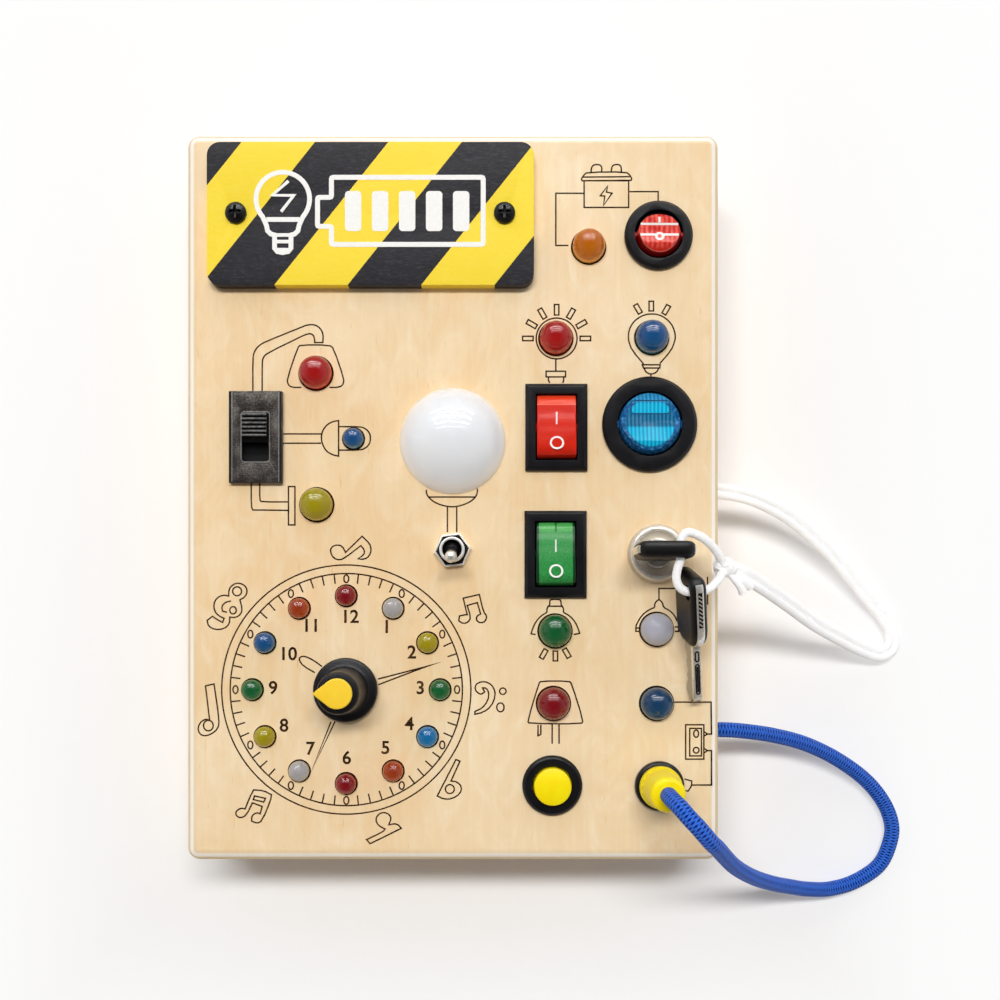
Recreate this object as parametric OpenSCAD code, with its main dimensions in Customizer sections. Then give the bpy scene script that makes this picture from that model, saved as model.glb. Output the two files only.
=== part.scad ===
// A wooden busy board for small children: a shallow plywood box whose front panel carries real
// switches, lamps and a twelve-lamp clock dial. The board lies on its back. X runs to the right,
// Y up the board and Z out of its front, and the origin is the middle of the back face.

/* [Board] */
// Width of the board
board_w = 132; // [120:1:150]
// Height of the board
board_h = 180; // [164:1:200]
// Thickness from the back face to the front face
board_t = 36; // [35:1:42]
// Thickness of the front panel
panel_t = 4; // [3.5:0.5:4.5]
// Thickness of the back panel
back_t = 3; // [2.5:0.5:3.5]
// Thickness of the side rails
rail_t = 6; // [5:0.5:6.5]
// Radius of the rounded front edge and of the four corners
edge_r = 3; // [1.5:0.5:3.4]
// Leg of the three-cornered glue blocks
block_leg = 12; // [10:1:13]

/* [Sign plate] */
// Width of the sign plate
sign_w = 80; // [76:1:84]
// Height of the sign plate
sign_h = 35; // [30:1:37]
// Thickness of the sign plate
sign_t = 3.5; // [2:0.5:5]
// Corner radius of the sign plate
sign_r = 3.2; // [1:0.1:5]
// Centre of the sign plate
sign_at = [-20, 69]; // [-60:0.5:80]
// Distance between the two screws of the sign plate
sign_pitch = 65.6; // [60:0.1:70]

/* [Rocker switches] */
// Centre of the red rocker switch
red_at = [25.6, 17.1]; // [-60:0.1:60]
// Centre of the green rocker switch
green_at = [25.4, -14.2]; // [-60:0.1:60]
// Centre of the small round power switch
power_at = [50.8, 64.5]; // [-60:0.1:70]
// Centre of the large round blue switch
blue_at = [48.6, 17.9]; // [-60:0.1:60]
// Width of the rectangular bezel
bezel_w = 15.3; // [14.8:0.1:17]
// Length of the rectangular bezel
bezel_l = 21.4; // [20.8:0.1:24]
// Height of every rocker bezel above the panel
bezel_h = 2; // [1.5:0.1:2.2]
// Width of the rocker's window
window_w = 10.2; // [9:0.1:10.6]
// Length of the rocker's window
window_l = 16.3; // [14:0.1:16.6]
// Outer diameter of the large round bezel
blue_ring_d = 23.4; // [22.4:0.1:25]
// Diameter of the large round window
blue_window_d = 16; // [14:0.1:16.6]
// Outer diameter of the small round bezel
power_ring_d = 16.8; // [16:0.1:18]
// Diameter of the small round window
power_window_d = 12; // [10:0.1:12.2]
// Tilt of a rocker to either side
rock_deg = 10; // [6:1:12]
// Depth of the rocker housings below the panel face
housing_depth = 16; // [12:0.5:18]

/* [Slide switch] */
// Centre of the slide switch
slide_at = [-48.4, 14.6]; // [-60:0.1:60]
// Width of the folded metal cover
slide_cover_w = 13.1; // [11:0.1:15]
// Length of the folded metal cover
slide_cover_l = 22.6; // [20:0.1:26]
// Width of the cover's window
slide_window_w = 6.6; // [5.5:0.1:7]
// Length of the cover's window
slide_window_l = 12; // [11:0.1:13]
// Length of the ribbed handle
slide_knob_l = 6.1; // [5:0.1:7]

/* [Lamp and toggle] */
// Centre of the dome lamp
dome_at = [0, 13.9]; // [-60:0.1:60]
// Diameter of the dome lamp
dome_d = 26.2; // [22:0.2:32]
// Height of the dome lamp
dome_h = 11; // [8:0.5:12]
// Centre of the toggle switch
toggle_at = [0, -13.2]; // [-60:0.1:60]
// Length of the toggle lever from its pivot
lever_len = 11.5; // [9:0.5:16]
// Tilt of the lever to either side
lever_deg = 12.5; // [8:0.5:14]

/* [Clock dial] */
// Centre of the clock dial
clock_at = [-26.3, -47.6]; // [-60:0.1:60]
// Radius of the circle of twelve small lamps
clock_led_r = 23.2; // [20:0.1:26]
// Diameter of the knob's skirt
knob_d = 15.8; // [14.6:0.2:20]
// Height of the knob
knob_h = 18.5; // [14:0.5:22]

/* [Push button] */
// Centre of the push button
button_at = [24.6, -71.2]; // [-80:0.1:60]
// Diameter of the button's flange
button_flange_d = 14.8; // [13:0.1:18]
// Diameter of the button's cap
button_cap_d = 9.1; // [8:0.1:9.4]
// Travel of the button
button_travel = 2.5; // [1.5:0.1:3]

/* [Key switch] */
// Centre of the key switch
lock_at = [50.5, -14]; // [-60:0.1:60]
// Diameter of the key switch's head
lock_head_d = 14.6; // [13.6:0.1:18]
// Diameter of the turning cylinder
lock_core_d = 7.4; // [7:0.1:8.4]
// Width of a key's bow
bow_w = 13.5; // [11:0.1:14]
// Height of a key's bow
bow_l = 18; // [16:0.5:18.5]
// Thickness of a key's bow
bow_t = 4; // [3:0.1:5]
// Length of a key's blade
blade_l = 15; // [12:0.5:15]
// Width of a key's blade
blade_w = 5.6; // [4:0.1:6]
// Thickness of a key's blade
blade_t = 1.9; // [1.2:0.1:2.4]

/* [Jack and plug] */
// Centre of the jack
jack_at = [51, -71.3]; // [-80:0.1:60]
// Diameter of the ring nut on the jack
jack_ring_d = 12.2; // [10:0.1:14]
// Diameter of the plug's pin
pin_d = 3.5; // [2.5:0.1:4]
// Height of the plug's sleeve
plug_h = 15.2; // [12:0.1:15.2]
// Diameter of the plug's sleeve at its foot
plug_d = 10.4; // [9:0.1:12]

/* [Lamps] */
// Diameter of the large lamps
led_d = 8; // [7:0.1:9]
// Diameter of the small lamps
small_led_d = 5; // [4:0.1:6]
// Height of a large lamp from its flange to its tip
led_h = 11; // [9:0.5:13]
// Height of a small lamp from its flange to its tip
small_led_h = 8.6; // [7:0.1:10]

/* [Battery box] */
// Centre of the battery box, in from the left rail and down from the top rail
battery_at = [42, 32]; // [30:0.5:60]
// Diameter of a cell
cell_d = 14.2; // [13.8:0.1:14.4]
// Length of a cell without its nub
cell_l = 49.5; // [49:0.1:50]
// Wall of the battery box
case_wall = 1.6; // [1.2:0.1:2]

/* [Cords] */
// Diameter of the blue plug cord
cord_d = 4; // [3:0.1:4.2]
// Diameter of one strand of the doubled key lanyard
strand_d = 2.2; // [1.6:0.1:2.4]

/* [Fits] */
// Gap between a part and its cut-out in the front panel
cutout_gap = 0.2; // [0.1:0.05:0.3]
// Gap beside a part that moves in a moulded pocket
slide_gap = 0.3; // [0.2:0.05:0.4]
// Radial play of a pin or shaft in its bore
shaft_play = 0.05; // [0.02:0.01:0.08]

/* [Hidden] */
$fn = 64;
face = board_t;
under = board_t - panel_t;
rail_h = under - back_t;
inner_w = board_w - 2 * rail_t;
inner_h = board_h - 2 * rail_t;

// places are drawn for a box of this inside size: near the middle they stay, and from
// far_x and far_y outwards they keep their distance to the nearest edges
drawn_w = 120;
drawn_h = 168;
drawn_t = 36;
far_x = 45;
far_y = 60;
function follow(v, far, grown) = v + sign(v) * min(1, abs(v) / far) * grown;
function spot(p) = [follow(p.x, far_x, (inner_w - drawn_w) / 2),
                    follow(p.y, far_y, (inner_h - drawn_h) / 2)];
red_spot = spot(red_at);
green_spot = spot(green_at);
power_spot = spot(power_at);
blue_spot = spot(blue_at);
slide_spot = spot(slide_at);
dome_spot = spot(dome_at);
toggle_spot = spot(toggle_at);
clock_spot = spot(clock_at);
button_spot = spot(button_at);
lock_spot = spot(lock_at);
jack_spot = spot(jack_at);
sign_spot = spot(sign_at);
battery_spot = [battery_at.x - inner_w / 2, inner_h / 2 - battery_at.y];

wood_screw_r = 1.4;
wood_screw_l = 12;
wood_head_r = 2.9;
wood_head_h = 1.8;
pan_head_r = 2.6;
pan_head_h = 2;
pan_shank_r = 1.3;
sign_screw_x = [-sign_pitch / 2, sign_pitch / 2];
block_screw = 3.5;

bezel_c = 0.8;
body_w = 13;
body_l = 19;
blue_body_r = 9.9;
power_body_r = 7.5;
trunnion_r = 1.2;
trunnion_l = 1.1;
rocker_rise = bezel_h + 0.6;
rocker_bevel = 2.4;
terminal_w = 4.8;
terminal_t = 0.8;
terminal_l = 8;
lug_l = 4;
lug_w = 2;
rect_terminals = [-5.5, 0, 5.5];
round_terminals = [-4.5, 4.5];
power_terminals = [-3.5, 3.5];
power_terminal_w = 3.6;
toggle_lugs = [-4.7, 0, 4.7];
slide_lugs = [-6, -2, 2, 6];
button_lugs = [-2.8, 2.8];
button_nut_af = 14;
lock_nut_af = 15;
nut_h = 2;

slide_cover_h = 2;
slide_metal = 0.8;
slide_travel = slide_window_l - slide_knob_l - 0.2;
slide_body_w = 9.4;
slide_body_l = 18;
slide_body_depth = 10;
slide_lip_w = slide_window_w + 1;
slide_lip_l = slide_knob_l + 2;
slide_floor = face - 1.4;
slide_start = slide_travel / 2;

dome_r = dome_d / 2;
dome_sphere_r = (dome_r * dome_r + dome_h * dome_h) / (2 * dome_h);
dome_wall = 1.2;
dome_neck_r = dome_r - 1.4;
dome_neck_l = panel_t + 2;
holder_wall = 1.4;
holder_floor = 1.4;
lamp_board_t = 1.6;

toggle_box = [8.2, 13.2, 9.4];
bushing_r = 3.05;
bushing_bore_r = 2.3;
bushing_l = 9;
toggle_nut_af = 8;
toggle_nut_h = 2;
lever_ball_r = 2.2;
lever_root_r = 1;
lever_tip_r = 1.45;
pivot_h = 2.4;
toggle_pin_r = 0.6;
toggle_pin_l = 2.6;

knob_gap = 0.6;
knob_root_r = knob_d / 2 - 1;
knob_top_r = 5;
knob_rim_h = 0.5;
skirt_h = 3;
skirt_bevel = 0.7;
nut_af = 9;
nut_room_r = nut_af / 2 / cos(30) + 0.4;
nut_room_h = 5;
shaft_r = 3;
shaft_foot = 2;
rotary_bushing_r = 3.7;
rotary_bushing_h = 4;
rotary_body_r = 12.5;
rotary_body_h = 9;
pointer_r = 3.6;
pointer_tip = 5.8;
pointer_h = 1.2;
clock_board_r = clock_led_r + 5;
clock_board_hole_r = rotary_body_r + 1;
clock_board_t = 1.6;
clock_board_z = under - 8;

button_flange_h = 1.8;
button_barrel_r = 5.9;
button_barrel_l = 20;
button_cap_r = button_cap_d / 2;
button_lip_h = 2.3;
button_collar_r = 5;
button_collar_h = 1.1;
button_out = 3.2;
button_stem_r = 1.6;
button_well = button_travel + button_collar_h + 4.6;
spring_r = 3;
spring_wire_r = 0.35;
spring_turns = 5;

lock_head_h = 2.6;
lock_body_r = 6;
lock_depth = 18;
core_gap = 0.2;
key_lift = 0.6;
key_seat = face + lock_head_h + key_lift;
keyway_depth = blade_l - key_lift + 0.6;
bow_r = bow_w / 2 - 0.95;
bow_hole_r = 1.9;
bow_hole = [3.4, bow_l - 3.8];
spare_pitch = 20;
spare_roll = 9;
spare_yaw = 5.4;
spare_rest = 0.3;
spare_x = lock_spot.x + 7.6;
spare_drop = 5;
spare_y = lock_spot.y - spare_drop - bow_l * cos(spare_pitch);
spare_z = face + spare_rest + blade_l * sin(spare_pitch) + blade_w / 2 * cos(spare_pitch);

jack_barrel_r = 3.95;
jack_body_r = 5;
jack_depth = 16;
jack_ring_h = 2.4;
plug_seat = face + jack_ring_h + 0.3;
pin_l = 14;

led_flange = 0.6;
led_rim_h = 1.5;
small_rim_h = 1;
lead_r = 0.25;
lead_pitch = 2.54;
lead_l = 7;
small_lead_l = 9;
red_leds_at = [[25.5, 39.2], [24.9, -51], [-33.8, 30.6]];
blue_leds_at = [[49.2, 39.4], [50.4, -51]];
green_leds_at = [[25.3, -33.1], [-33.6, -1.9]];
amber_led_at = [33.6, 61.8];
clear_led_at = [50.4, -32.7];
small_blue_led_at = [-24.5, 14.4];
red_led_spots = [for (p = red_leds_at) spot(p)];
blue_led_spots = [for (p = blue_leds_at) spot(p)];
green_led_spots = [for (p = green_leds_at) spot(p)];
amber_spot = spot(amber_led_at);
clear_spot = spot(clear_led_at);
small_blue_spot = spot(small_blue_led_at);

cell_gap = 1.2;
cell_pitch = cell_d + cell_gap;
nub_r = 2.7;
nub_h = 1;
contact_t = 0.4;
contact_w = 10;
coil_wire_r = 0.5;
coil_turns = 4;
coil_l = 6.6;
coil_r = 3.9;
coil_taper = 1.6;
bay_l = cell_l + nub_h + coil_l + 2 * contact_t;
bay_w = 3 * cell_pitch;
bay_h = cell_d + 1.2;
case_l = bay_l + 2 * case_wall;
case_w = bay_w + 2 * case_wall;
case_flange = 3;
case_flange_t = 1.6;
ear_l = 9;
cover_gap = 0.3;
cover_r = 2;
cover_grip_l = 20;
cover_grip_w = 1.2;

wire_r = 0.7;
wire_low = back_t + 4.5;
wire_high = back_t + 6.5;
case_side = battery_spot.x + case_l / 2;
wire_bend = 2;
wire_lane = (red_spot.x + blue_spot.x) / 2;
lane_pitch = 2;
feed_y = [14, -8, -11, -14];

// holes in the right rail, and how far the routes below have moved with the box
hole_z = 17;
lanyard_rise = 17.5;
cord_rise = 12.1;
lanyard_hole = [lock_spot.y + lanyard_rise, hole_z];
cord_hole = [jack_spot.y + cord_rise, hole_z];
hole_play = 0.4;
function carried(route, from, to) = [for (p = route)
    let (rise = min(1, max(0, (p.z - cord_hole.y) / (drawn_t - cord_hole.y))))
    p + [to.x - from.x, to.y - from.y, rise * (face - drawn_t)]];

// route of the blue cord, from the plug's top over the edge, around and back to its hole
cord_route = [
    [51, -71.3, 54], [51, -71.3, 55.6], [51.3, -71.7, 58.3], [52.6, -73, 61.3],
    [54.5, -75.2, 63.1], [56.4, -77.2, 63.6], [58.2, -79.3, 63.1], [59.8, -81.1, 61.7],
    [61.6, -82.8, 58.5], [64.2, -85.7, 52.5], [67.8, -89.4, 44.5], [72, -92.8, 36.5],
    [77.1, -96.1, 28], [83, -99, 19.8], [88.7, -101.2, 13], [94.3, -102.9, 8],
    [101.4, -103.7, 4.2], [109, -102, 2.4], [115.8, -97.4, 2.1], [118.8, -90.6, 2.1],
    [118.9, -85.5, 2.1], [116.3, -79.6, 2.4], [111, -73.6, 3.4], [102.5, -67.8, 6.2],
    [93.5, -63.6, 9.4], [84.5, -61.1, 12.6], [76, -59.7, 15.4], [70, -59.2, 16.8],
    [61, -59.2, 17]];

// route of the doubled lanyard, from its hole around to the knot
lanyard_route = [
    [61, 3.5, 17], [70, 3.4, 16.8], [78.5, 1.8, 15], [87.4, -2, 12], [95, -7.2, 9],
    [103, -14.2, 6], [110.4, -22.4, 3.2], [116.6, -29.2, 1.7], [119.2, -33.6, 1.5],
    [119.2, -37.4, 1.7], [116.2, -39.6, 2.7], [111, -38.6, 5.4], [103, -35.4, 11.4],
    [93.6, -31.2, 19.2], [85.4, -26.7, 27.2], [77, -22.3, 35.8], [70.6, -19.4, 42.2],
    [67.8, -18.5, 44.5]];

// route of the single loop, from the knot through both bows and back
knot_at = [65.5, -17.8, 46];
knot_r = 2.6;
loop_route = [
    [65.5, -17.8, 46], [63.6, -14.6, 48.6], [60.4, -11.6, 51.6], [57, -9.4, 53.1],
    [54.6, -9.2, 53.2], [53.9, -11, 53.2], [53.9, -17.2, 53.2], [52.6, -19.6, 53.2],
    [51.2, -21.3, 53.2], [51.2, -23.4, 53.2], [52.6, -24.5, 53], [54.6, -24.6, 52.5],
    [60.6, -23.8, 51.6], [63.2, -22.3, 50.1], [64.8, -20.2, 48], [65.5, -18.2, 46.4]];

// ---- shared shapes ----

module at_face(p) {
    translate([p.x, p.y, face]) children();
}

module round_rect(w, h, r) {
    square([w - 2 * r, h], center = true);
    square([w, h - 2 * r], center = true);
    for (x = [-1, 1], y = [-1, 1])
        translate([x * (w / 2 - r), y * (h / 2 - r)]) circle(r = r);
}

module round_plate(w, h, t, r) {
    linear_extrude(t) round_rect(w, h, r);
}

// plate with upright round corners and a rounded-over top edge of the same radius
module soft_edged_slab(w, h, t, r) {
    intersection() {
        translate([-w, -h, 0]) cube([2 * w, 2 * h, t]);
        union() {
            translate([-w / 2 + r, -h / 2 + r, 0]) cube([w - 2 * r, h - 2 * r, t]);
            translate([0, 0, -r]) round_plate(w, h, t, r);
            for (x = [-1, 1]) translate([x * (w / 2 - r), 0, t - r])
                rotate([90, 0, 0]) cylinder(r = r, h = h - 2 * r, center = true);
            for (y = [-1, 1]) translate([0, y * (h / 2 - r), t - r])
                rotate([0, 90, 0]) cylinder(r = r, h = w - 2 * r, center = true);
            for (x = [-1, 1], y = [-1, 1])
                translate([x * (w / 2 - r), y * (h / 2 - r), t - r]) sphere(r = r);
        }
    }
}

// rectangular block whose top edges are bevelled by c
module bevelled_block(w, l, h, c) {
    intersection() {
        rotate([90, 0, 0]) linear_extrude(2 * l, center = true)
            polygon([[-w / 2, 0], [w / 2, 0], [w / 2, h - c],
                     [w / 2 - c, h], [-w / 2 + c, h], [-w / 2, h - c]]);
        rotate([90, 0, 90]) linear_extrude(2 * w, center = true)
            polygon([[-l / 2, 0], [l / 2, 0], [l / 2, h - c],
                     [l / 2 - c, h], [-l / 2 + c, h], [-l / 2, h - c]]);
    }
}

// disc with a bevelled top edge
module bevelled_disc(r, h, c) {
    cylinder(r = r, h = h - c);
    translate([0, 0, h - c]) cylinder(r1 = r, r2 = r - c, h = c);
}

module hex_nut(across_flats, h) {
    cylinder(r = across_flats / 2 / cos(30), h = h, $fn = 6);
}

// ---- swept cords ----

function unit(v) = v / norm(v);

// direction of the route at point i
function heading(p, i) =
    i == 0 ? unit(p[1] - p[0]) :
    i == len(p) - 1 ? unit(p[i] - p[i - 1]) :
    unit(unit(p[i + 1] - p[i]) + unit(p[i] - p[i - 1]));

// side vectors carried along the route without twist
function side_vectors(p, i, last) =
    let (t = heading(p, i), v = unit(last - (last * t) * t))
    i == len(p) - 1 ? [v] : concat([v], side_vectors(p, i + 1, v));

// tube of half-width a and half-height b along the route p; side0 is its first side direction
module swept_tube(p, a, b, side0, sides) {
    v = side_vectors(p, 0, side0);
    n = len(p);
    rings = [for (i = [0:n - 1]) let (w = cross(heading(p, i), v[i]))
        for (k = [0:sides - 1])
            p[i] + a * cos(360 * k / sides) * v[i] + b * sin(360 * k / sides) * w];
    skin = [for (i = [0:n - 2], k = [0:sides - 1]) let (m = (k + 1) % sides)
        each [[i * sides + k, (i + 1) * sides + k, i * sides + m],
              [i * sides + m, (i + 1) * sides + k, (i + 1) * sides + m]]];
    ends = [[for (k = [0:sides - 1]) k], [for (k = [sides - 1:-1:0]) (n - 1) * sides + k]];
    polyhedron(points = rings, faces = concat(skin, ends));
}

// ---- the box ----

module board_block(z0, z1) {
    translate([0, 0, z0]) round_plate(board_w, board_h, z1 - z0, edge_r);
}

module panel_cutouts() {
    depth = panel_t + 2;
    through = -panel_t - 1;
    for (p = [red_spot, green_spot]) at_face(p) translate([0, 0, through + depth / 2])
        cube([body_w + 2 * cutout_gap, body_l + 2 * cutout_gap, depth], center = true);
    at_face(slide_spot) translate([0, 0, through + depth / 2])
        cube([slide_body_w + 2 * cutout_gap, slide_body_l + 2 * cutout_gap, depth], center = true);
    round_cutouts = [
        [power_spot, power_body_r], [blue_spot, blue_body_r], [dome_spot, dome_neck_r],
        [toggle_spot, bushing_r], [clock_spot, rotary_bushing_r], [button_spot, button_barrel_r],
        [lock_spot, lock_body_r], [jack_spot, jack_barrel_r]];
    for (c = round_cutouts) at_face(c[0]) translate([0, 0, through])
        cylinder(r = c[1] + cutout_gap, h = depth);
    for (p = concat(red_led_spots, blue_led_spots, green_led_spots, [amber_spot, clear_spot]))
        at_face(p) translate([0, 0, through]) cylinder(r = led_d / 2 + cutout_gap / 2, h = depth);
    for (p = concat([small_blue_spot], clock_places()))
        at_face(p) translate([0, 0, through])
            cylinder(r = small_led_d / 2 + cutout_gap / 2, h = depth);
    for (x = sign_screw_x) at_face(sign_spot + [x, 0]) translate([0, 0, through])
        cylinder(r = pan_shank_r, h = depth);
}

module front_panel() color("burlywood") difference() {
    translate([0, 0, under]) soft_edged_slab(board_w, board_h, panel_t, edge_r);
    panel_cutouts();
}

module left_rail() color("wheat") intersection() {
    board_block(back_t, under);
    translate([-board_w / 2 - 1, -board_h / 2 - 1, back_t]) cube([rail_t + 1, board_h + 2, rail_h]);
}

module right_rail() color("wheat") difference() {
    intersection() {
        board_block(back_t, under);
        translate([board_w / 2 - rail_t, -board_h / 2 - 1, back_t])
            cube([rail_t + 1, board_h + 2, rail_h]);
    }
    translate([board_w / 2 - rail_t - 1, lanyard_hole.x, lanyard_hole.y]) rotate([0, 90, 0])
        cylinder(r = strand_d + hole_play, h = rail_t + 2);
    translate([board_w / 2 - rail_t - 1, cord_hole.x, cord_hole.y]) rotate([0, 90, 0])
        cylinder(r = cord_d / 2 + hole_play, h = rail_t + 2);
}

module cross_rail(y) {
    translate([-inner_w / 2, y, back_t]) cube([inner_w, rail_t, rail_h]);
}

module top_rail() color("wheat") cross_rail(inner_h / 2);

module bottom_rail() color("wheat") cross_rail(-inner_h / 2 - rail_t);

module at_corners() {
    for (x = [0, 1], y = [0, 1]) mirror([x, 0, 0]) mirror([0, y, 0])
        translate([inner_w / 2, inner_h / 2, 0]) children();
}

module corner_blocks() color("tan") at_corners() difference() {
    translate([0, 0, back_t]) linear_extrude(rail_h)
        polygon([[0, 0], [-block_leg, 0], [0, -block_leg]]);
    translate([-block_screw, -block_screw, back_t - 1])
        cylinder(r = wood_screw_r, h = wood_screw_l);
}

module countersink() {
    translate([0, 0, -1]) cylinder(r = wood_head_r, h = 1);
    cylinder(r1 = wood_head_r, r2 = wood_screw_r, h = wood_head_h);
    cylinder(r = wood_screw_r, h = wood_screw_l + 1);
}

module back_panel() color("burlywood") difference() {
    board_block(0, back_t);
    at_corners() translate([-block_screw, -block_screw, 0]) countersink();
    translate([cover_centre().x, cover_centre().y, -1])
        round_plate(cover_l() + 2 * cover_gap, case_w + 2 * cover_gap, back_t + 2, cover_r);
}

// countersunk screw with a cross recess, head down
module wood_screw() {
    difference() {
        union() {
            cylinder(r1 = wood_head_r, r2 = wood_screw_r, h = wood_head_h);
            cylinder(r = wood_screw_r, h = wood_screw_l - 1);
        }
        for (a = [0, 90]) rotate(a) cube([3.2, 0.8, 1.6], center = true);
    }
}

module back_screws() color("silver") {
    at_corners() translate([-block_screw, -block_screw, 0]) wood_screw();
    translate([ear_at().x, ear_at().y, 0]) wood_screw();
}

// ---- the sign plate ----

module sign_plate() color("gold") at_face(sign_spot) difference() {
    round_plate(sign_w, sign_h, sign_t, sign_r);
    for (x = sign_screw_x) translate([x, 0, -1]) cylinder(r = pan_shank_r, h = sign_t + 2);
}

module sign_screws() color("black") for (x = sign_screw_x) at_face(sign_spot + [x, 0]) {
    difference() {
        translate([0, 0, sign_t]) intersection() {
            cylinder(r = pan_head_r, h = pan_head_h);
            translate([0, 0, -1.4]) sphere(r = 3.4);
        }
        for (a = [0, 90]) rotate(a) translate([0, 0, sign_t + pan_head_h])
            cube([3, 0.7, 2], center = true);
    }
    translate([0, 0, -panel_t - 1]) cylinder(r = pan_shank_r, h = sign_t + panel_t + 1.2);
}

// ---- the dome lamp ----

module lamp_dome() color("white") at_face(dome_spot) {
    difference() {
        intersection() {
            translate([0, 0, dome_h - dome_sphere_r]) sphere(r = dome_sphere_r);
            cylinder(r = dome_r + 1, h = dome_h + 1);
        }
        translate([0, 0, dome_h - dome_sphere_r]) sphere(r = dome_sphere_r - dome_wall);
    }
    translate([0, 0, -dome_neck_l]) difference() {
        cylinder(r = dome_neck_r, h = dome_neck_l + 0.8);
        translate([0, 0, -1]) cylinder(r = dome_neck_r - dome_wall, h = dome_neck_l + 3);
    }
}

module lamp_holder() color("whitesmoke") at_face(dome_spot) {
    cup_r = dome_neck_r + shaft_play + holder_wall;
    cup_h = dome_neck_l - panel_t + lamp_board_t + holder_floor;
    translate([0, 0, -panel_t - cup_h]) difference() {
        union() {
            cylinder(r = cup_r, h = cup_h);
            translate([0, 0, cup_h - 1.5]) cylinder(r = cup_r + 2, h = 1.5);
        }
        translate([0, 0, holder_floor]) cylinder(r = dome_neck_r + shaft_play, h = cup_h);
        translate([0, 0, -1]) cylinder(r = 3, h = holder_floor + 2);
    }
}

module lamp_board() color("darkgreen") at_face(dome_spot)
    translate([0, 0, -dome_neck_l - lamp_board_t]) {
        difference() {
            cylinder(r = dome_neck_r, h = lamp_board_t);
            for (a = [0, 180]) rotate(a) translate([2, 0, -1])
                cylinder(r = 0.5, h = lamp_board_t + 2);
        }
        for (a = [0:120:240]) rotate(a) translate([5, 0, lamp_board_t + 0.7])
            cube([3.5, 2.8, 1.4], center = true);
    }

// ---- the toggle switch ----

module toggle_body() color("dimgray") at_face(toggle_spot) difference() {
    union() {
        translate([-toggle_box.x / 2, -toggle_box.y / 2, -panel_t - toggle_box.z])
            cube(toggle_box);
        translate([0, 0, -panel_t]) cylinder(r = bushing_r, h = bushing_l);
    }
    translate([0, 0, pivot_h]) sphere(r = lever_ball_r + shaft_play);
    translate([0, 0, pivot_h]) cylinder(r = bushing_bore_r, h = bushing_l);
    translate([0, 0, pivot_h]) rotate([0, 90, 0])
        cylinder(r = toggle_pin_r + shaft_play, h = 2 * toggle_pin_l + 0.2, center = true);
}

module toggle_nut() color("silver") at_face(toggle_spot) difference() {
    intersection() {
        hex_nut(toggle_nut_af, toggle_nut_h);
        translate([0, 0, -3]) sphere(r = 6.2);
    }
    translate([0, 0, -1]) cylinder(r = bushing_r, h = toggle_nut_h + 2);
}

module toggle_lever() color("silver") at_face(toggle_spot) translate([0, 0, pivot_h])
    rotate([lever_deg, 0, 0]) {
        sphere(r = lever_ball_r);
        rotate([0, 90, 0]) cylinder(r = toggle_pin_r, h = 2 * toggle_pin_l, center = true);
        cylinder(r1 = lever_root_r, r2 = lever_tip_r, h = lever_len - lever_tip_r);
        translate([0, 0, lever_len - lever_tip_r]) sphere(r = lever_tip_r);
    }

// ---- the slide switch ----

module slide_cover() color("gray") at_face(slide_spot) difference() {
    union() {
        translate([0, 0, slide_cover_h - slide_metal / 2])
            cube([slide_cover_w, slide_cover_l, slide_metal], center = true);
        for (x = [-1, 1]) translate([x * (slide_cover_w / 2 - slide_metal / 2), 0, slide_cover_h / 2])
            cube([slide_metal, slide_cover_l, slide_cover_h], center = true);
    }
    translate([0, 0, -1]) round_plate(slide_window_w, slide_window_l, slide_cover_h + 2, 0.8);
}

module slide_body() color("black") at_face(slide_spot) difference() {
    pocket_l = slide_window_l + 2 * (slide_lip_l - slide_knob_l) / 2 + 0.4;
    translate([-slide_body_w / 2, -slide_body_l / 2, -slide_body_depth])
        cube([slide_body_w, slide_body_l, slide_body_depth + slide_cover_h - slide_metal]);
    translate([0, 0, slide_floor - face + 5])
        cube([slide_lip_w + 2 * slide_gap, pocket_l, 10], center = true);
}

// ribbed handle on a lip that the cover holds down
module slide_knob() color("black") translate([slide_spot.x, slide_spot.y + slide_start, 0]) {
    lip_z = slide_floor + 0.1;
    lip_top = face + slide_cover_h - slide_metal - 0.2;
    translate([-slide_lip_w / 2, -slide_lip_l / 2, lip_z])
        cube([slide_lip_w, slide_lip_l, lip_top - lip_z]);
    rib = slide_knob_l / 6;
    knob_w = slide_window_w - 0.6;
    rib_z = face + slide_cover_h + 1.2;
    translate([-knob_w / 2, -slide_knob_l / 2, lip_z]) cube([knob_w, slide_knob_l, rib_z - lip_z]);
    for (i = [0:5]) translate([-knob_w / 2, -slide_knob_l / 2 + i * rib, rib_z - 0.01])
        rotate([90, 0, 90]) linear_extrude(knob_w)
            polygon([[0, 0], [rib * 0.7, 0], [rib * 0.55, 0.61 + 0.12 * abs(i - 2.5)],
                     [rib * 0.15, 0.61 + 0.12 * abs(i - 2.5)]]);
}

// ---- the rocker switches ----

// rocker profile: a shallow V on top with a bevel at each end, rounded below about the pivot
module rocker_profile(r) {
    shoulder = r - rocker_bevel;
    rise = shoulder * tan(rock_deg);
    polygon([[-r - 1, -r - 1], [r + 1, -r - 1], [r + 1, rocker_rise + rise - 1.8],
             [shoulder, rocker_rise + rise], [0, rocker_rise],
             [-shoulder, rocker_rise + rise], [-r - 1, rocker_rise + rise - 1.8]]);
}

module rocker_pins(reach) {
    rotate([0, 90, 0]) cylinder(r = trunnion_r, h = 2 * reach, center = true);
}

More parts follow.
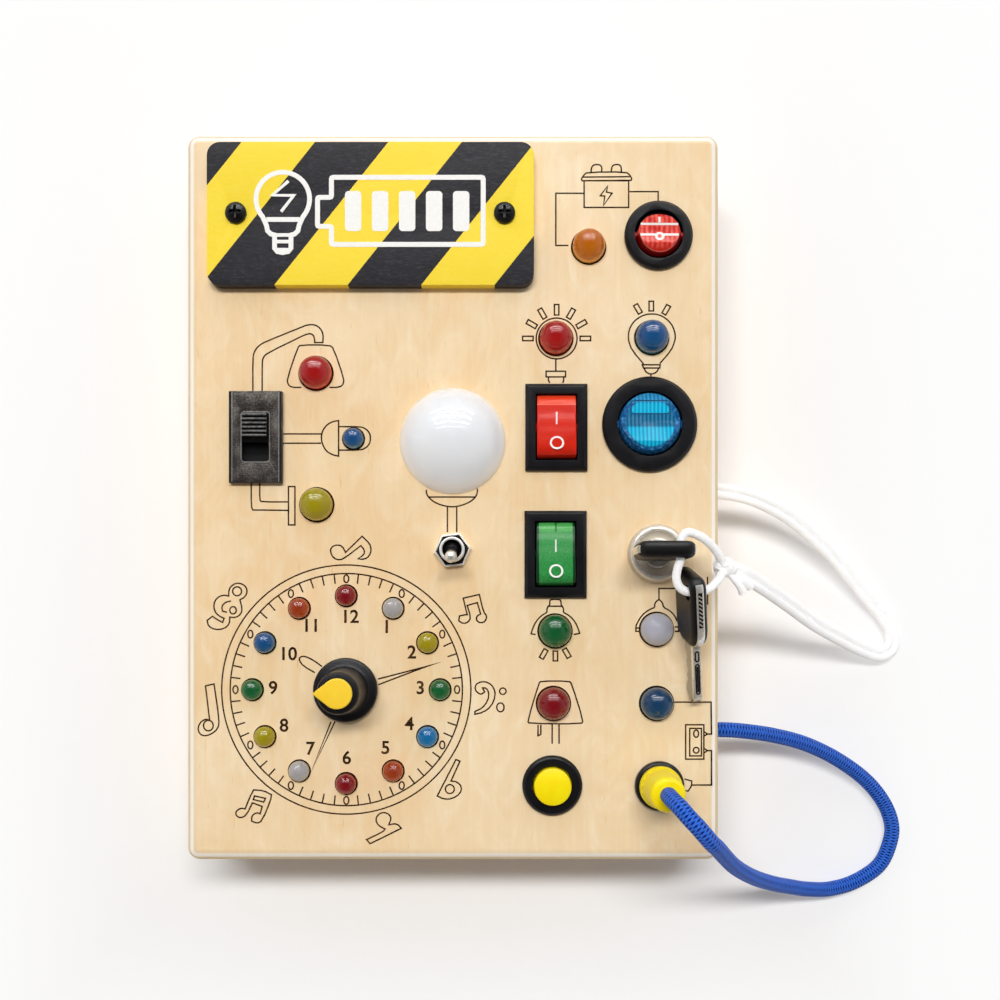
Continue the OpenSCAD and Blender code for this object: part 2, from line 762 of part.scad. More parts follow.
module rect_rocker() rotate([-rock_deg, 0, 0]) {
    r = window_l / 2 - slide_gap;
    half_w = window_w / 2 - slide_gap;
    intersection() {
        rotate([0, 90, 0]) cylinder(r = r, h = 2 * half_w, center = true);
        rotate([90, 0, 90]) linear_extrude(2 * half_w, center = true) rocker_profile(r);
    }
    rocker_pins(window_w / 2 + trunnion_l - 0.1);
}

module round_rocker(window_d) rotate([-rock_deg, 0, 0]) {
    r = window_d / 2 - slide_gap;
    intersection() {
        sphere(r = r);
        rotate([90, 0, 90]) linear_extrude(2 * r, center = true) rocker_profile(r);
    }
    rocker_pins(window_d / 2 + trunnion_l - 0.1);
}

// snap wing that spreads behind the panel; it stands on the body's side, facing +Y
module snap_wing(w) {
    rotate([90, 0, 90]) linear_extrude(w, center = true)
        polygon([[-0.5, -panel_t - 0.1], [0.9, -panel_t - 0.1], [0.9, -panel_t - 1],
                 [0, -panel_t - 6], [-0.5, -panel_t - 6]]);
}

module rect_housing() difference() {
    union() {
        bevelled_block(bezel_w, bezel_l, bezel_h, bezel_c);
        translate([-body_w / 2, -body_l / 2, -housing_depth]) cube([body_w, body_l, housing_depth]);
        for (a = [0, 180]) rotate(a) translate([0, body_l / 2, 0]) snap_wing(7);
    }
    translate([0, 0, bezel_h + 1 - (window_l / 2 + bezel_h + 1) / 2])
        cube([window_w, window_l, window_l / 2 + bezel_h + 1], center = true);
    rotate([0, 90, 0])
        cylinder(r = trunnion_r + shaft_play, h = window_w + 2 * trunnion_l, center = true);
}

module round_housing(ring_d, window_d, body_r) difference() {
    union() {
        bevelled_disc(ring_d / 2, bezel_h, bezel_c);
        translate([0, 0, -housing_depth]) cylinder(r = body_r, h = housing_depth);
        for (a = [90, 270]) rotate(a) translate([0, body_r - 0.3, 0]) snap_wing(4);
    }
    translate([0, 0, -window_d / 2]) cylinder(r = window_d / 2, h = window_d / 2 + bezel_h + 1);
    rotate([0, 90, 0])
        cylinder(r = trunnion_r + shaft_play, h = window_d + 2 * trunnion_l, center = true);
}

module red_rocker_housing() color("black") at_face(red_spot) rect_housing();
module red_rocker() color("red") at_face(red_spot) rect_rocker();
module green_rocker_housing() color("black") at_face(green_spot) rect_housing();
module green_rocker() color("green") at_face(green_spot) rect_rocker();
module power_rocker_housing() color("black") at_face(power_spot)
    round_housing(power_ring_d, power_window_d, power_body_r);
module power_rocker() color("darkred") at_face(power_spot) round_rocker(power_window_d);
module blue_rocker_housing() color("black") at_face(blue_spot)
    round_housing(blue_ring_d, blue_window_d, blue_body_r);
module blue_rocker() color("deepskyblue") at_face(blue_spot) round_rocker(blue_window_d);

// flat spade with a hole near its tip, hanging below z = 0
module spade(w, length) difference() {
    translate([-w / 2, -terminal_t / 2, -length]) cube([w, terminal_t, length]);
    translate([0, 0, -length + 1.8]) rotate([90, 0, 0])
        cylinder(r = 0.7, h = terminal_t + 1, center = true);
}

module switch_terminals() color("goldenrod") {
    for (p = [red_spot, green_spot], y = rect_terminals)
        at_face(p) translate([0, y, -housing_depth]) spade(terminal_w, terminal_l);
    for (y = round_terminals)
        at_face(blue_spot) translate([0, y, -housing_depth]) spade(terminal_w, terminal_l);
    for (y = power_terminals)
        at_face(power_spot) translate([0, y, -housing_depth]) spade(power_terminal_w, terminal_l);
    for (y = toggle_lugs)
        at_face(toggle_spot) translate([0, y, -panel_t - toggle_box.z]) spade(lug_w, lug_l);
    for (y = slide_lugs)
        at_face(slide_spot) translate([0, y, -slide_body_depth]) spade(lug_w, lug_l);
    for (x = button_lugs) at_face(button_spot)
        translate([x, 0, button_flange_h - button_barrel_l]) rotate(90) spade(lug_w, lug_l);
}

// nut behind the panel or on it, with its flats to the sides
module ring_nut(across_flats, h, bore_r) difference() {
    rotate(30) hex_nut(across_flats, h);
    translate([0, 0, -1]) cylinder(r = bore_r, h = h + 2);
}

module panel_nuts() color("silver") {
    at_face(button_spot) translate([0, 0, -panel_t - nut_h])
        ring_nut(button_nut_af, nut_h, button_barrel_r);
    at_face(lock_spot) translate([0, 0, -panel_t - nut_h])
        ring_nut(lock_nut_af, nut_h, lock_body_r);
    at_face(clock_spot) ring_nut(nut_af, nut_h, rotary_bushing_r);
}

// ---- the push button ----

module button_body() color("black") at_face(button_spot) difference() {
    union() {
        bevelled_disc(button_flange_d / 2, button_flange_h, 0.7);
        translate([0, 0, button_flange_h - button_barrel_l])
            cylinder(r = button_barrel_r, h = button_barrel_l - 0.5);
    }
    translate([0, 0, button_flange_h - button_lip_h - 1])
        cylinder(r = button_cap_r + slide_gap, h = button_lip_h + 2);
    translate([0, 0, button_flange_h - button_lip_h - button_well])
        cylinder(r = button_collar_r + slide_gap, h = button_well);
    translate([0, 0, button_flange_h - button_barrel_l + 2])
        cylinder(r = button_stem_r + slide_gap, h = button_barrel_l);
}

module button_cap() color("yellow") at_face(button_spot) {
    collar_top = button_flange_h - button_lip_h - 0.2;
    top = button_flange_h + button_out;
    translate([0, 0, collar_top - button_collar_h]) cylinder(r = button_collar_r, h = button_collar_h);
    intersection() {
        translate([0, 0, collar_top - 0.5]) cylinder(r = button_cap_r, h = top - collar_top + 0.5);
        translate([0, 0, top - 3 * button_cap_r]) sphere(r = 3 * button_cap_r);
    }
    translate([0, 0, collar_top - 9]) cylinder(r = button_stem_r, h = 9);
}

module button_spring() color("silver") at_face(button_spot) {
    low = button_flange_h - button_lip_h - button_well + spring_wire_r;
    high = button_flange_h - button_lip_h - 0.2 - button_collar_h - spring_wire_r;
    steps = 10 * spring_turns;
    helix = [for (i = [0:steps]) let (a = 360 * spring_turns * i / steps)
        [spring_r * cos(a), spring_r * sin(a), low + (high - low) * i / steps]];
    swept_tube(helix, spring_wire_r, spring_wire_r, [1, 0, 0], 6);
}

// ---- the key switch and its keys ----

module lock_body() color("silver") at_face(lock_spot) difference() {
    union() {
        rotate_extrude() polygon([[0, 0], [lock_head_d / 2, 0], [lock_head_d / 2, 0.9],
            [lock_head_d / 2 - 0.9, lock_head_h], [lock_head_d / 2 - 1.7, lock_head_h],
            [lock_head_d / 2 - 2, lock_head_h - 1], [0, lock_head_h - 1]]);
        translate([0, 0, -lock_depth]) cylinder(r = lock_body_r, h = lock_depth);
    }
    translate([0, 0, -lock_depth + 1.5])
        cylinder(r = lock_core_d / 2 + shaft_play, h = lock_depth + lock_head_h);
}

module lock_cylinder() color("gray") at_face(lock_spot) difference() {
    union() {
        translate([0, 0, -lock_depth + 1.5 + core_gap])
            cylinder(r = lock_core_d / 2, h = lock_depth - 1.5 - core_gap + lock_head_h - 0.3);
        translate([0, 0, lock_head_h - 0.3]) difference() {
            cylinder(r = lock_core_d / 2, h = 0.3);
            translate([0, 0, -1]) cylinder(r = lock_core_d / 2 - 0.6, h = 3);
        }
    }
    translate([0, 0, lock_head_h - keyway_depth / 2])
        cube([blade_w + 0.3, blade_t + 0.3, keyway_depth], center = true);
}

// blade with bitting cuts along both edges; its shoulder is at z = 0 and its tip at -blade_l
module blade() {
    half = blade_w / 2;
    rotate([90, 0, 0]) linear_extrude(blade_t, center = true)
        polygon([[-half, 2], [-half, -2], [-half + 0.9, -3.2], [-half + 0.9, -4.4],
                 [-half + 0.3, -5.4], [-half + 1.3, -6.8], [-half + 1.3, -7.8],
                 [-half + 0.5, -9], [-half + 1, -10], [-half, -11.4], [-half, -blade_l + 1.8],
                 [-half + 1.6, -blade_l], [half - 1.6, -blade_l], [half, -blade_l + 1.8],
                 [half, -10.8], [half - 1, -9.6], [half - 0.4, -8.4], [half - 1.2, -7],
                 [half - 1.2, -6], [half - 0.3, -4.6], [half - 0.8, -3.4], [half, -2.2], [half, 2]]);
}

// moulded bow with a hole for the cord and a slot that the blade's root fills
module bow() difference() {
    rotate([90, 0, 0]) translate([0, bow_l / 2, -bow_t / 2]) round_plate(bow_w, bow_l, bow_t, bow_r);
    translate([bow_hole.x, 0, bow_hole.y]) rotate([90, 0, 0])
        cylinder(r = bow_hole_r, h = bow_t + 2, center = true);
    translate([0, 0, 0.5]) cube([blade_w, blade_t, 3], center = true);
}

module at_lock() {
    translate([lock_spot.x, lock_spot.y, key_seat]) children();
}

module at_spare() {
    translate([spare_x, spare_y, spare_z]) rotate([0, 0, spare_yaw])
        rotate([spare_pitch - 90, 0, 0]) rotate([0, 0, spare_roll - 90]) children();
}

module key_blade() color("silver") at_lock() blade();
module key_bow() color("black") at_lock() bow();
module spare_key_blade() color("silver") at_spare() blade();
module spare_key_bow() color("black") at_spare() bow();

// ---- the jack, its plug and the cords ----

module jack_socket() color("black") at_face(jack_spot) difference() {
    union() {
        translate([0, 0, -jack_depth]) cylinder(r = jack_body_r, h = jack_depth - panel_t);
        translate([0, 0, -panel_t - 1]) cylinder(r = jack_barrel_r, h = panel_t + 1 + jack_ring_h);
    }
    translate([0, 0, -pin_l]) cylinder(r = pin_d / 2 + shaft_play, h = pin_l + jack_ring_h + 1);
}

module jack_nut() color("black") at_face(jack_spot) difference() {
    bevelled_disc(jack_ring_d / 2, jack_ring_h, 0.6);
    translate([0, 0, -1]) cylinder(r = jack_barrel_r, h = jack_ring_h + 2);
}

module plug_pin() color("silver") translate([jack_spot.x, jack_spot.y, plug_seat]) {
    length = pin_l + jack_ring_h - 0.3;
    translate([0, 0, -length + 1]) cylinder(r = pin_d / 2, h = length - 1);
    translate([0, 0, -length]) cylinder(r1 = pin_d / 2 - 0.8, r2 = pin_d / 2, h = 1);
}

module plug_shell() color("gold") translate([jack_spot.x, jack_spot.y, plug_seat]) rotate_extrude()
    polygon([[0, 0], [plug_d / 2, 0], [plug_d / 2, 2.6], [plug_d / 2 - 0.6, 3.4],
             [plug_d / 2 - 1, plug_h - 0.8], [plug_d / 2 - 1.7, plug_h], [0, plug_h]]);

module blue_cord() color("royalblue")
    swept_tube(carried(cord_route, jack_at, jack_spot), cord_d / 2, cord_d / 2, [1, 0, 0], 8);

module lanyard() color("white")
    swept_tube(carried(lanyard_route, lock_at, lock_spot), strand_d, strand_d / 2, [0, 1, 0], 8);

module lanyard_loop() color("white") {
    swept_tube(carried(loop_route, lock_at, lock_spot), strand_d / 2, strand_d / 2, [0, 0, 1], 8);
    translate(carried([knot_at], lock_at, lock_spot)[0]) sphere(r = knot_r);
}

// ---- the clock dial: rotary switch, knob and lamps ----

function clock_places() = [for (hour = [1:12])
    clock_spot + clock_led_r * [sin(30 * hour), cos(30 * hour)]];

module rotary_switch() color("darkslategray") at_face(clock_spot) difference() {
    union() {
        translate([0, 0, -panel_t - rotary_body_h]) cylinder(r = rotary_body_r, h = rotary_body_h);
        translate([0, 0, -panel_t]) cylinder(r = rotary_bushing_r, h = panel_t + rotary_bushing_h);
        for (a = [0:30:330]) rotate(a) translate([rotary_body_r - 2, 0, -panel_t - rotary_body_h - 4])
            cylinder(r = 0.5, h = 4.5);
    }
    translate([0, 0, -panel_t - shaft_foot])
        cylinder(r = shaft_r + shaft_play, h = panel_t + rotary_bushing_h + shaft_foot + 1);
}

// shaft with a flat near its end, as a D
module rotary_shaft() color("silver") at_face(clock_spot) difference() {
    translate([0, 0, -panel_t - shaft_foot + 0.2])
        cylinder(r = shaft_r, h = panel_t + shaft_foot - 0.2 + knob_h - 2.5);
    translate([shaft_r - 1.2, -shaft_r, knob_gap + nut_room_h + 0.5]) cube([3, 2 * shaft_r, knob_h]);
}

// half outline of the knob: a bevelled skirt and a waist that sweeps in to a narrow top
function knob_waist(low, high) = [for (k = [0:8])
    [knob_top_r + (knob_root_r - knob_top_r) * pow(1 - k / 8, 2.4), low + (high - low) * k / 8]];

module knob_body() color("black") at_face(clock_spot) translate([0, 0, knob_gap]) {
    top = knob_h - knob_gap - pointer_h;
    difference() {
        rotate_extrude() polygon(concat(
            [[0, 0], [knob_d / 2 - 0.3, 0], [knob_d / 2, 0.3], [knob_d / 2, skirt_h - skirt_bevel],
             [knob_d / 2 - skirt_bevel, skirt_h]],
            knob_waist(nut_room_h + 0.8, top - knob_rim_h), [[knob_top_r - knob_rim_h, top], [0, top]]));
        translate([0, 0, -1]) cylinder(r = nut_room_r, h = nut_room_h + 1);
        cylinder(r = shaft_r, h = knob_h - knob_gap - 2.5);
    }
}

// teardrop cap that points to the lit hour; it points left at rest
module knob_cap() color("yellow") at_face(clock_spot) translate([0, 0, knob_h - pointer_h])
    linear_extrude(pointer_h) {
        lean = acos(pointer_r / pointer_tip);
        circle(r = pointer_r);
        polygon([[0, 0], pointer_r * [-cos(lean), sin(lean)], [-pointer_tip, 0],
                 pointer_r * [-cos(lean), -sin(lean)]]);
    }

module clock_board() color("darkgreen") translate([clock_spot.x, clock_spot.y, clock_board_z])
    difference() {
        cylinder(r = clock_board_r, h = clock_board_t);
        translate([0, 0, -1]) cylinder(r = clock_board_hole_r, h = clock_board_t + 2);
    }

// lamp with a flange behind the panel, a domed lens in front and two leads
module led(d, h, rim_h, lead) {
    translate([0, 0, -panel_t - rim_h]) {
        cylinder(r = d / 2 + led_flange, h = rim_h);
        cylinder(r = d / 2, h = h - d / 2);
        translate([0, 0, h - d / 2]) sphere(r = d / 2);
        for (x = [-lead_pitch / 2, lead_pitch / 2]) translate([x, 0, -lead])
            cylinder(r = lead_r, h = lead + 0.2, $fn = 16);
    }
}

module large_led(p) {
    at_face(p) led(led_d, led_h, led_rim_h, lead_l);
}

module small_led(p, lead) {
    at_face(p) led(small_led_d, small_led_h, small_rim_h, lead);
}

module clock_leds() color("darkorange") for (p = clock_places())
    small_led(p, under - small_rim_h - clock_board_z - clock_board_t);
module red_leds() color("firebrick") for (p = red_led_spots) large_led(p);
module blue_leds() color("royalblue") {
    for (p = blue_led_spots) large_led(p);
    small_led(small_blue_spot, small_lead_l);
}
module green_leds() color("seagreen") for (p = green_led_spots) large_led(p);
module amber_and_clear_leds() color("orange") for (p = [amber_spot, clear_spot]) large_led(p);

// ---- the battery box ----

function cover_l() = case_l + ear_l;
function cover_centre() = battery_spot + [ear_l / 2, 0];
function ear_at() = battery_spot + [case_l / 2 + ear_l / 2, 0];

// tray open to the back, with a flange on the back panel and a boss for the cover's screw
module battery_case() color("black") translate([battery_spot.x, battery_spot.y, back_t]) difference() {
    union() {
        translate([-case_l / 2, -case_w / 2, 0]) cube([case_l, case_w, bay_h + case_wall]);
        difference() {
            translate([ear_l / 2, 0, 0]) round_plate(cover_l() + 2 * case_flange,
                case_w + 2 * case_flange, case_flange_t, cover_r);
            translate([case_l / 2 - 0.1, -case_w / 2, -1]) cube([ear_l, case_w, case_flange_t + 2]);
        }
        translate([case_l / 2 - 0.1, -4.5, 0]) cube([ear_l + 0.1, 9, 12]);
    }
    translate([-bay_l / 2, -bay_w / 2, -1]) cube([bay_l, bay_w, bay_h + 1]);
    translate([case_l / 2 + ear_l / 2, 0, -1]) cylinder(r = wood_screw_r, h = wood_screw_l - back_t + 1.5);
}

module battery_cover() color("black") translate([cover_centre().x, cover_centre().y, 0]) difference() {
    round_plate(cover_l(), case_w, back_t, cover_r);
    translate([cover_l() / 2 - ear_l / 2, 0, 0]) countersink();
    for (i = [0:3]) translate([-cover_l() / 2 + 8 + 3 * i, 0, 0])
        cube([cover_grip_w, cover_grip_l, cover_grip_w], center = true);
}

// cell lying along X with its nub to the right
module cell() {
    rotate([0, 90, 0]) {
        cylinder(r = cell_d / 2, h = cell_l);
        cylinder(r = nub_r, h = cell_l + nub_h);
    }
}

module in_bays() {
    for (i = [-1:1]) translate([battery_spot.x, battery_spot.y + i * cell_pitch,
        back_t + 0.4 + cell_d / 2]) mirror([i == 0 ? 1 : 0, 0, 0]) children();
}

module batteries() color("steelblue") in_bays()
    translate([bay_l / 2 - contact_t - nub_h - cell_l, 0, 0]) cell();

// conical spring that presses the cell, wound along X from its plate
module contact_spring() {
    steps = 8 * coil_turns;
    coil = [for (i = [0:steps]) let (a = 45 * i, r = coil_r - coil_taper * i / steps)
        [coil_wire_r + (coil_l - 2 * coil_wire_r) * i / steps, r * cos(a), r * sin(a)]];
    swept_tube(coil, coil_wire_r, coil_wire_r, [1, 0, 0], 6);
}

module battery_contacts() color("silver") in_bays() {
    for (x = [-bay_l / 2 + contact_t / 2, bay_l / 2 - contact_t / 2]) translate([x, 0, 0])
        cube([contact_t, contact_w, contact_w], center = true);
    translate([-bay_l / 2 + contact_t, 0, 0]) contact_spring();
}

// ---- the wires behind the panel ----

// insulated wire that follows the points p
module wire(p) {
    swept_tube(p, wire_r, wire_r, [0, 0, 1], 6);
}

// wire from the battery box down a channel at x and up to the foot of a terminal
module feed(from_y, x, z, to, tip) {
    y = battery_spot.y + from_y;
    side = wire_bend * sign(to.x - x);
    wire([[case_side, y, z], [x - wire_bend, y, z], [x, y - wire_bend, z],
          [x, to.y + wire_bend, z], [x + side, to.y, z], [to.x - 0.75 * side, to.y, z],
          [to.x, to.y, z + 0.75 * wire_bend], [to.x, to.y, tip]]);
}

module wires() color("red") {
    tip = face - housing_depth - terminal_l;
    feed(feed_y[0], wire_lane - 1.5 * lane_pitch, wire_high,
        power_spot + [0, power_terminals[0]], tip);
    feed(feed_y[1], wire_lane - 0.5 * lane_pitch, wire_high,
        blue_spot + [0, round_terminals[1]], tip);
    feed(feed_y[2], wire_lane + lane_pitch, wire_low, red_spot + [0, rect_terminals[2]], tip);
    feed(feed_y[3], wire_lane, wire_low - lane_pitch, green_spot + [0, rect_terminals[2]], tip);
}

front_panel();
left_rail();
right_rail();
top_rail();
bottom_rail();
corner_blocks();
back_panel();
back_screws();
sign_plate();
sign_screws();
lamp_dome();
lamp_holder();
lamp_board();
toggle_body();
toggle_nut();
toggle_lever();
slide_cover();
slide_body();
slide_knob();
red_rocker_housing();
red_rocker();
green_rocker_housing();
green_rocker();
power_rocker_housing();
power_rocker();
blue_rocker_housing();
blue_rocker();
switch_terminals();
panel_nuts();
button_body();
button_cap();
button_spring();
lock_body();
lock_cylinder();
key_blade();
key_bow();
spare_key_blade();
spare_key_bow();
jack_socket();
jack_nut();
plug_pin();
plug_shell();
blue_cord();
lanyard();
lanyard_loop();
rotary_switch();
rotary_shaft();
knob_body();
knob_cap();
clock_board();
clock_leds();
red_leds();
blue_leds();
green_leds();
amber_and_clear_leds();
battery_case();
battery_cover();
batteries();
battery_contacts();
wires();
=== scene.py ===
from math import cos, hypot, pi, radians, sin

import bpy
from mathutils import Matrix, Vector


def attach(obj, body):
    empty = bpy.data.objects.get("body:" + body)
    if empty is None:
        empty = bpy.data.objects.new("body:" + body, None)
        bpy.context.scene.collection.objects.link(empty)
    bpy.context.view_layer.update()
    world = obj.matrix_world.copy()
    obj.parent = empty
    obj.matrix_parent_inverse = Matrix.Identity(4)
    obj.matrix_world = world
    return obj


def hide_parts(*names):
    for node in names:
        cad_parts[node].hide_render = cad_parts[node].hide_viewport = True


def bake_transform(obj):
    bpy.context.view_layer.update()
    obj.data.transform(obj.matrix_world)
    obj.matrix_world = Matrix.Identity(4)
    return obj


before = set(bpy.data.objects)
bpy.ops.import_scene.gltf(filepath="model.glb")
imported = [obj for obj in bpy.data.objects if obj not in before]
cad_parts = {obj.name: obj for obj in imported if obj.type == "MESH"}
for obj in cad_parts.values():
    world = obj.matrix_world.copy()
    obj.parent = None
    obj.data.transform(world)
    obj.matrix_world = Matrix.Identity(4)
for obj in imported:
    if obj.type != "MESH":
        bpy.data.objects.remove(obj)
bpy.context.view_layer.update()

# ---- The table, the light and the camera ----
# A pale laminate table top in a white room, under a soft lamp, with four ceiling tubes beyond the
# board's upper edge that show in glossy skins. The camera looks straight down from hand height.
# The part's sizes are in mm, which MM turns into metres, and FACE is the height of the board's
# face. The table, the lamps and the camera are placed in metres.
MM = 0.001
FACE = 36


def linear(code):
    """Turns a hex colour into the linear values that materials and lamps use."""
    parts = [int(code[i:i + 2], 16) / 255 for i in (0, 2, 4)]
    return [c / 12.92 if c < 0.04045 else ((c + 0.055) / 1.055) ** 2.4 for c in parts] + [1]


SKIN = {"mirror": "Specular IOR Level", "metal": "Metallic", "ior": "IOR", "coat": "Coat Weight",
        "coat_rough": "Coat Roughness", "sheen": "Sheen Weight", "sheen_rough": "Sheen Roughness",
        "milky": "Subsurface Weight", "milky_rgb": "Subsurface Radius",
        "milky_deep": "Subsurface Scale", "glow": "Emission Strength",
        "glow_colour": "Emission Color"}


class Finish:
    """A material, or the world, in the making: each call adds a node and gives its output. Hex
    colours are text, and place is where a point of the surface lies."""

    def __init__(self, name, made_in=bpy.data.materials):
        self.made = made_in.new(name)
        self.made.use_nodes = True
        self.tree = self.made.node_tree
        self.tree.nodes.clear()
        self.coordinates = self.add("TexCoord")
        self.place = self.coordinates["Object"]

    def add(self, kind, sockets=None, **settings):
        """Adds a node with its settings; each socket gets a value or another node's output."""
        node = self.tree.nodes.new("ShaderNode" + kind)
        for name, value in settings.items():
            setattr(node, name, value)
        for key, value in (sockets or {}).items():
            if isinstance(value, bpy.types.NodeSocket):
                self.tree.links.new(value, node.inputs[key])
            elif value is not None:
                node.inputs[key].default_value = linear(value) if isinstance(value, str) else value
        return node.outputs

    def noise(self, scale, detail, at=None, rough=0.5, bent=0):
        return self.add("TexNoise", {"Vector": at or self.place, "Scale": scale, "Detail": detail,
                                     "Roughness": rough, "Distortion": bent})[0]

    def wave(self, at, scale, bent, direction, detail=2):
        """Parallel waves; 0 in their troughs and 1 on their crests."""
        return self.add("TexWave", {"Vector": at, "Scale": scale, "Distortion": bent,
                                    "Detail": detail}, bands_direction=direction)[1]

    def ramp(self, value, *stops):
        """Colours a value by stops of (value, hex colour)."""
        colour = self.add("ValToRGB", {0: value})[0]
        band = colour.node.color_ramp.elements
        band.remove(band[1])
        band[0].position, band[0].color = stops[0][0], linear(stops[0][1])
        for at, code in stops[1:]:
            band.new(at).color = linear(code)
        return colour

    def calc(self, operation, *values):
        return self.add("Math", dict(enumerate(values)), operation=operation)[0]

    def mix(self, share, one, other, blend="MIX"):
        """Blends the other colour over the first one by its share."""
        return self.add("Mix", {0: share, 6: one, 7: other}, data_type="RGBA",
                        blend_type=blend)[2]

    def span(self, value, low=0, high=1, to_low=0, to_high=1, **settings):
        """Maps a value from one range to another, and stops at its ends."""
        return self.add("MapRange", {0: value, 1: low, 2: high, 3: to_low, 4: to_high},
                        **settings)[0]

    def moved(self, at=None, scale=(1, 1, 1), shift=(0, 0, 0), turn=0):
        """Scales, shifts and turns (in degrees, about Z) the space that a texture lies in."""
        return self.add("Mapping", {"Vector": at or self.place, "Location": shift, "Scale": scale,
                                    "Rotation": (0, 0, radians(turn))})[0]

    def parts(self, at=None):
        return self.add("SeparateXYZ", {0: at or self.place})[0:3]

    def length(self, x, y):
        flat = self.add("CombineXYZ", {0: x, 1: y})[0]
        return self.add("VectorMath", {0: flat}, operation="LENGTH")[1]

    def bump(self, height, strength, distance):
        return self.add("Bump", {"Height": height, "Strength": strength,
                                 "Distance": distance})[0]

    def surface(self, colour, rough, bump=None, **more):
        named = {SKIN[name]: value for name, value in more.items()}
        return self.add("BsdfPrincipled", {"Base Color": colour, "Roughness": rough,
                                           "Normal": bump, **named})[0]

    def skin(self, colour, rough, bump=None, **more):
        """Ends a material with its surface; more takes the names in SKIN."""
        self.add("OutputMaterial", {"Surface": self.surface(colour, rough, bump, **more)})
        return self.made


def only(*pieces):
    """Selects these pieces and nothing else, the last one active."""
    bpy.ops.object.select_all(action="DESELECT")
    for piece in pieces:
        piece.select_set(True)
    bpy.context.view_layer.objects.active = pieces[-1]


def in_scene(name, data):
    """Puts a new object into the scene, selected alone."""
    thing = bpy.data.objects.new(name, data)
    bpy.context.scene.collection.objects.link(thing)
    only(thing)
    return thing


def begin(make, name, **how):
    """Starts a piece from a primitive, with nothing else selected."""
    bpy.ops.object.select_all(action="DESELECT")
    make(**how)
    bpy.context.object.name = name
    return bpy.context.object


TABLE_W = 7
table_top = begin(bpy.ops.mesh.primitive_plane_add, "table_top", size=TABLE_W,
                  location=(0, 0, -0.0002))
finish = Finish("matt white laminate")
# pressed melamine: a barely uneven white with a fine pebble that breaks up reflections
pebble = finish.noise(900, 3)
cloud = finish.noise(3, 2)
white = finish.ramp(cloud, (0.3, "fbfbfb"), (0.7, "fefefe"))
bump = finish.bump(pebble, 0.04, 0.0002)
matt = finish.surface(white, 0.55, bump, mirror=0.2)
# away from the board and its shadows the eye sees the table burn out to plain white
x, y = finish.parts()[:2]
beside_board = finish.calc("SUBTRACT", finish.calc("ABSOLUTE", x), 0.065)
beyond_board = finish.calc("SUBTRACT", finish.calc("ABSOLUTE", y), 0.088)
clear_of_board = finish.calc("MAXIMUM", beside_board, beyond_board)
burnt_out = finish.span(clear_of_board, 0.012, 0.075, 0, 0.75, interpolation_type="SMOOTHSTEP")
seen = finish.add("LightPath")
straight = finish.calc("MAXIMUM", seen["Is Camera Ray"], seen["Is Glossy Ray"])
straight = finish.calc("MAXIMUM", straight, seen["Is Transmission Ray"])
burnt_out = finish.calc("MULTIPLY", burnt_out, straight)
pure = finish.add("Emission", {"Color": "ffffff", "Strength": 1})[0]
faded = finish.add("MixShader", {0: burnt_out, 1: matt, 2: pure})[0]
finish.add("OutputMaterial", {"Surface": faded})
table_top.data.materials.append(finish.made)

sky = Finish("white room", bpy.data.worlds)
# pale walls, brightest beyond the board's upper edge and warm and dim on the near side, and a dark
# patch of ceiling straight above
ahead, rise = sky.parts(sky.coordinates["Generated"])[1:]
walls = sky.ramp(rise, (0, "a9abb0"), (0.15, "eceef4"), (0.5, "e4e7ee"), (0.88, "66686c"))
behind = sky.span(ahead, 0.1, -0.6)
toned = sky.mix(behind, "ffffff", "f0dcc6")
walls = sky.mix(1, walls, toned, "MULTIPLY")
bright = sky.span(ahead, -1, 1, 0.34, 1.06)
glow = sky.add("Background", {"Color": walls, "Strength": bright})[0]
# whoever looks past the table sees a plain white backdrop, and so does gloss near the horizon
seen = sky.add("LightPath")
straight = sky.calc("MAXIMUM", seen["Is Camera Ray"], seen["Is Transmission Ray"])
low = sky.calc("MULTIPLY", sky.span(rise, 0.2, 0.05), seen["Is Glossy Ray"])
straight = sky.calc("MAXIMUM", straight, low)
backdrop = sky.add("Background", {"Color": "f6f6f5", "Strength": 1})[0]
room = sky.add("MixShader", {0: straight, 1: glow, 2: backdrop})[0]
sky.add("OutputWorld", {"Surface": room})
bpy.context.scene.world = sky.made


def soft_lamp(name, where, towards, size, power, colour, glare):
    """Adds a rectangular soft box; where and towards are points in metres. It either lights the
    colours or, as glare, only shows as a highlight on glossy skins."""
    lamp = bpy.data.lights.new(name, "AREA")
    lamp.shape = "RECTANGLE"
    lamp.size, lamp.size_y = size
    lamp.energy = power
    lamp.color = linear(colour)[:3]
    stand = in_scene(name, lamp)
    stand.location = where
    stand.rotation_euler = (Vector(towards) - Vector(where)).to_track_quat("-Z", "Y").to_euler()
    stand.visible_glossy = glare
    stand.visible_diffuse = not glare


soft_lamp("key_box", (-0.07, 0.62, 1.96), (0, 0, 0), (1.3, 0.24), 31, "fffefc", False)
# how far each ceiling tube is beyond the board and how high, and its power
TUBES = [(0.9, 1.95, 5), (1.25, 1.72, 15), (1.63, 1.37, 28), (1.95, 0.8, 30)]
for number, (y, z, power) in enumerate(TUBES, 1):
    soft_lamp(f"ceiling_tube_{number}", (0, y, z), (0, 0, 0), (3, 0.1), power, "fffefc", True)

lens = bpy.data.cameras.new("view from above")
lens.sensor_width = 36
lens.lens = 45.14
lens.shift_y = 0.12
camera = in_scene("camera", lens)
camera.location = (0.0117, -0.0304, 0.346)
bpy.context.scene.camera = camera
bpy.context.scene.view_settings.view_transform = "Standard"

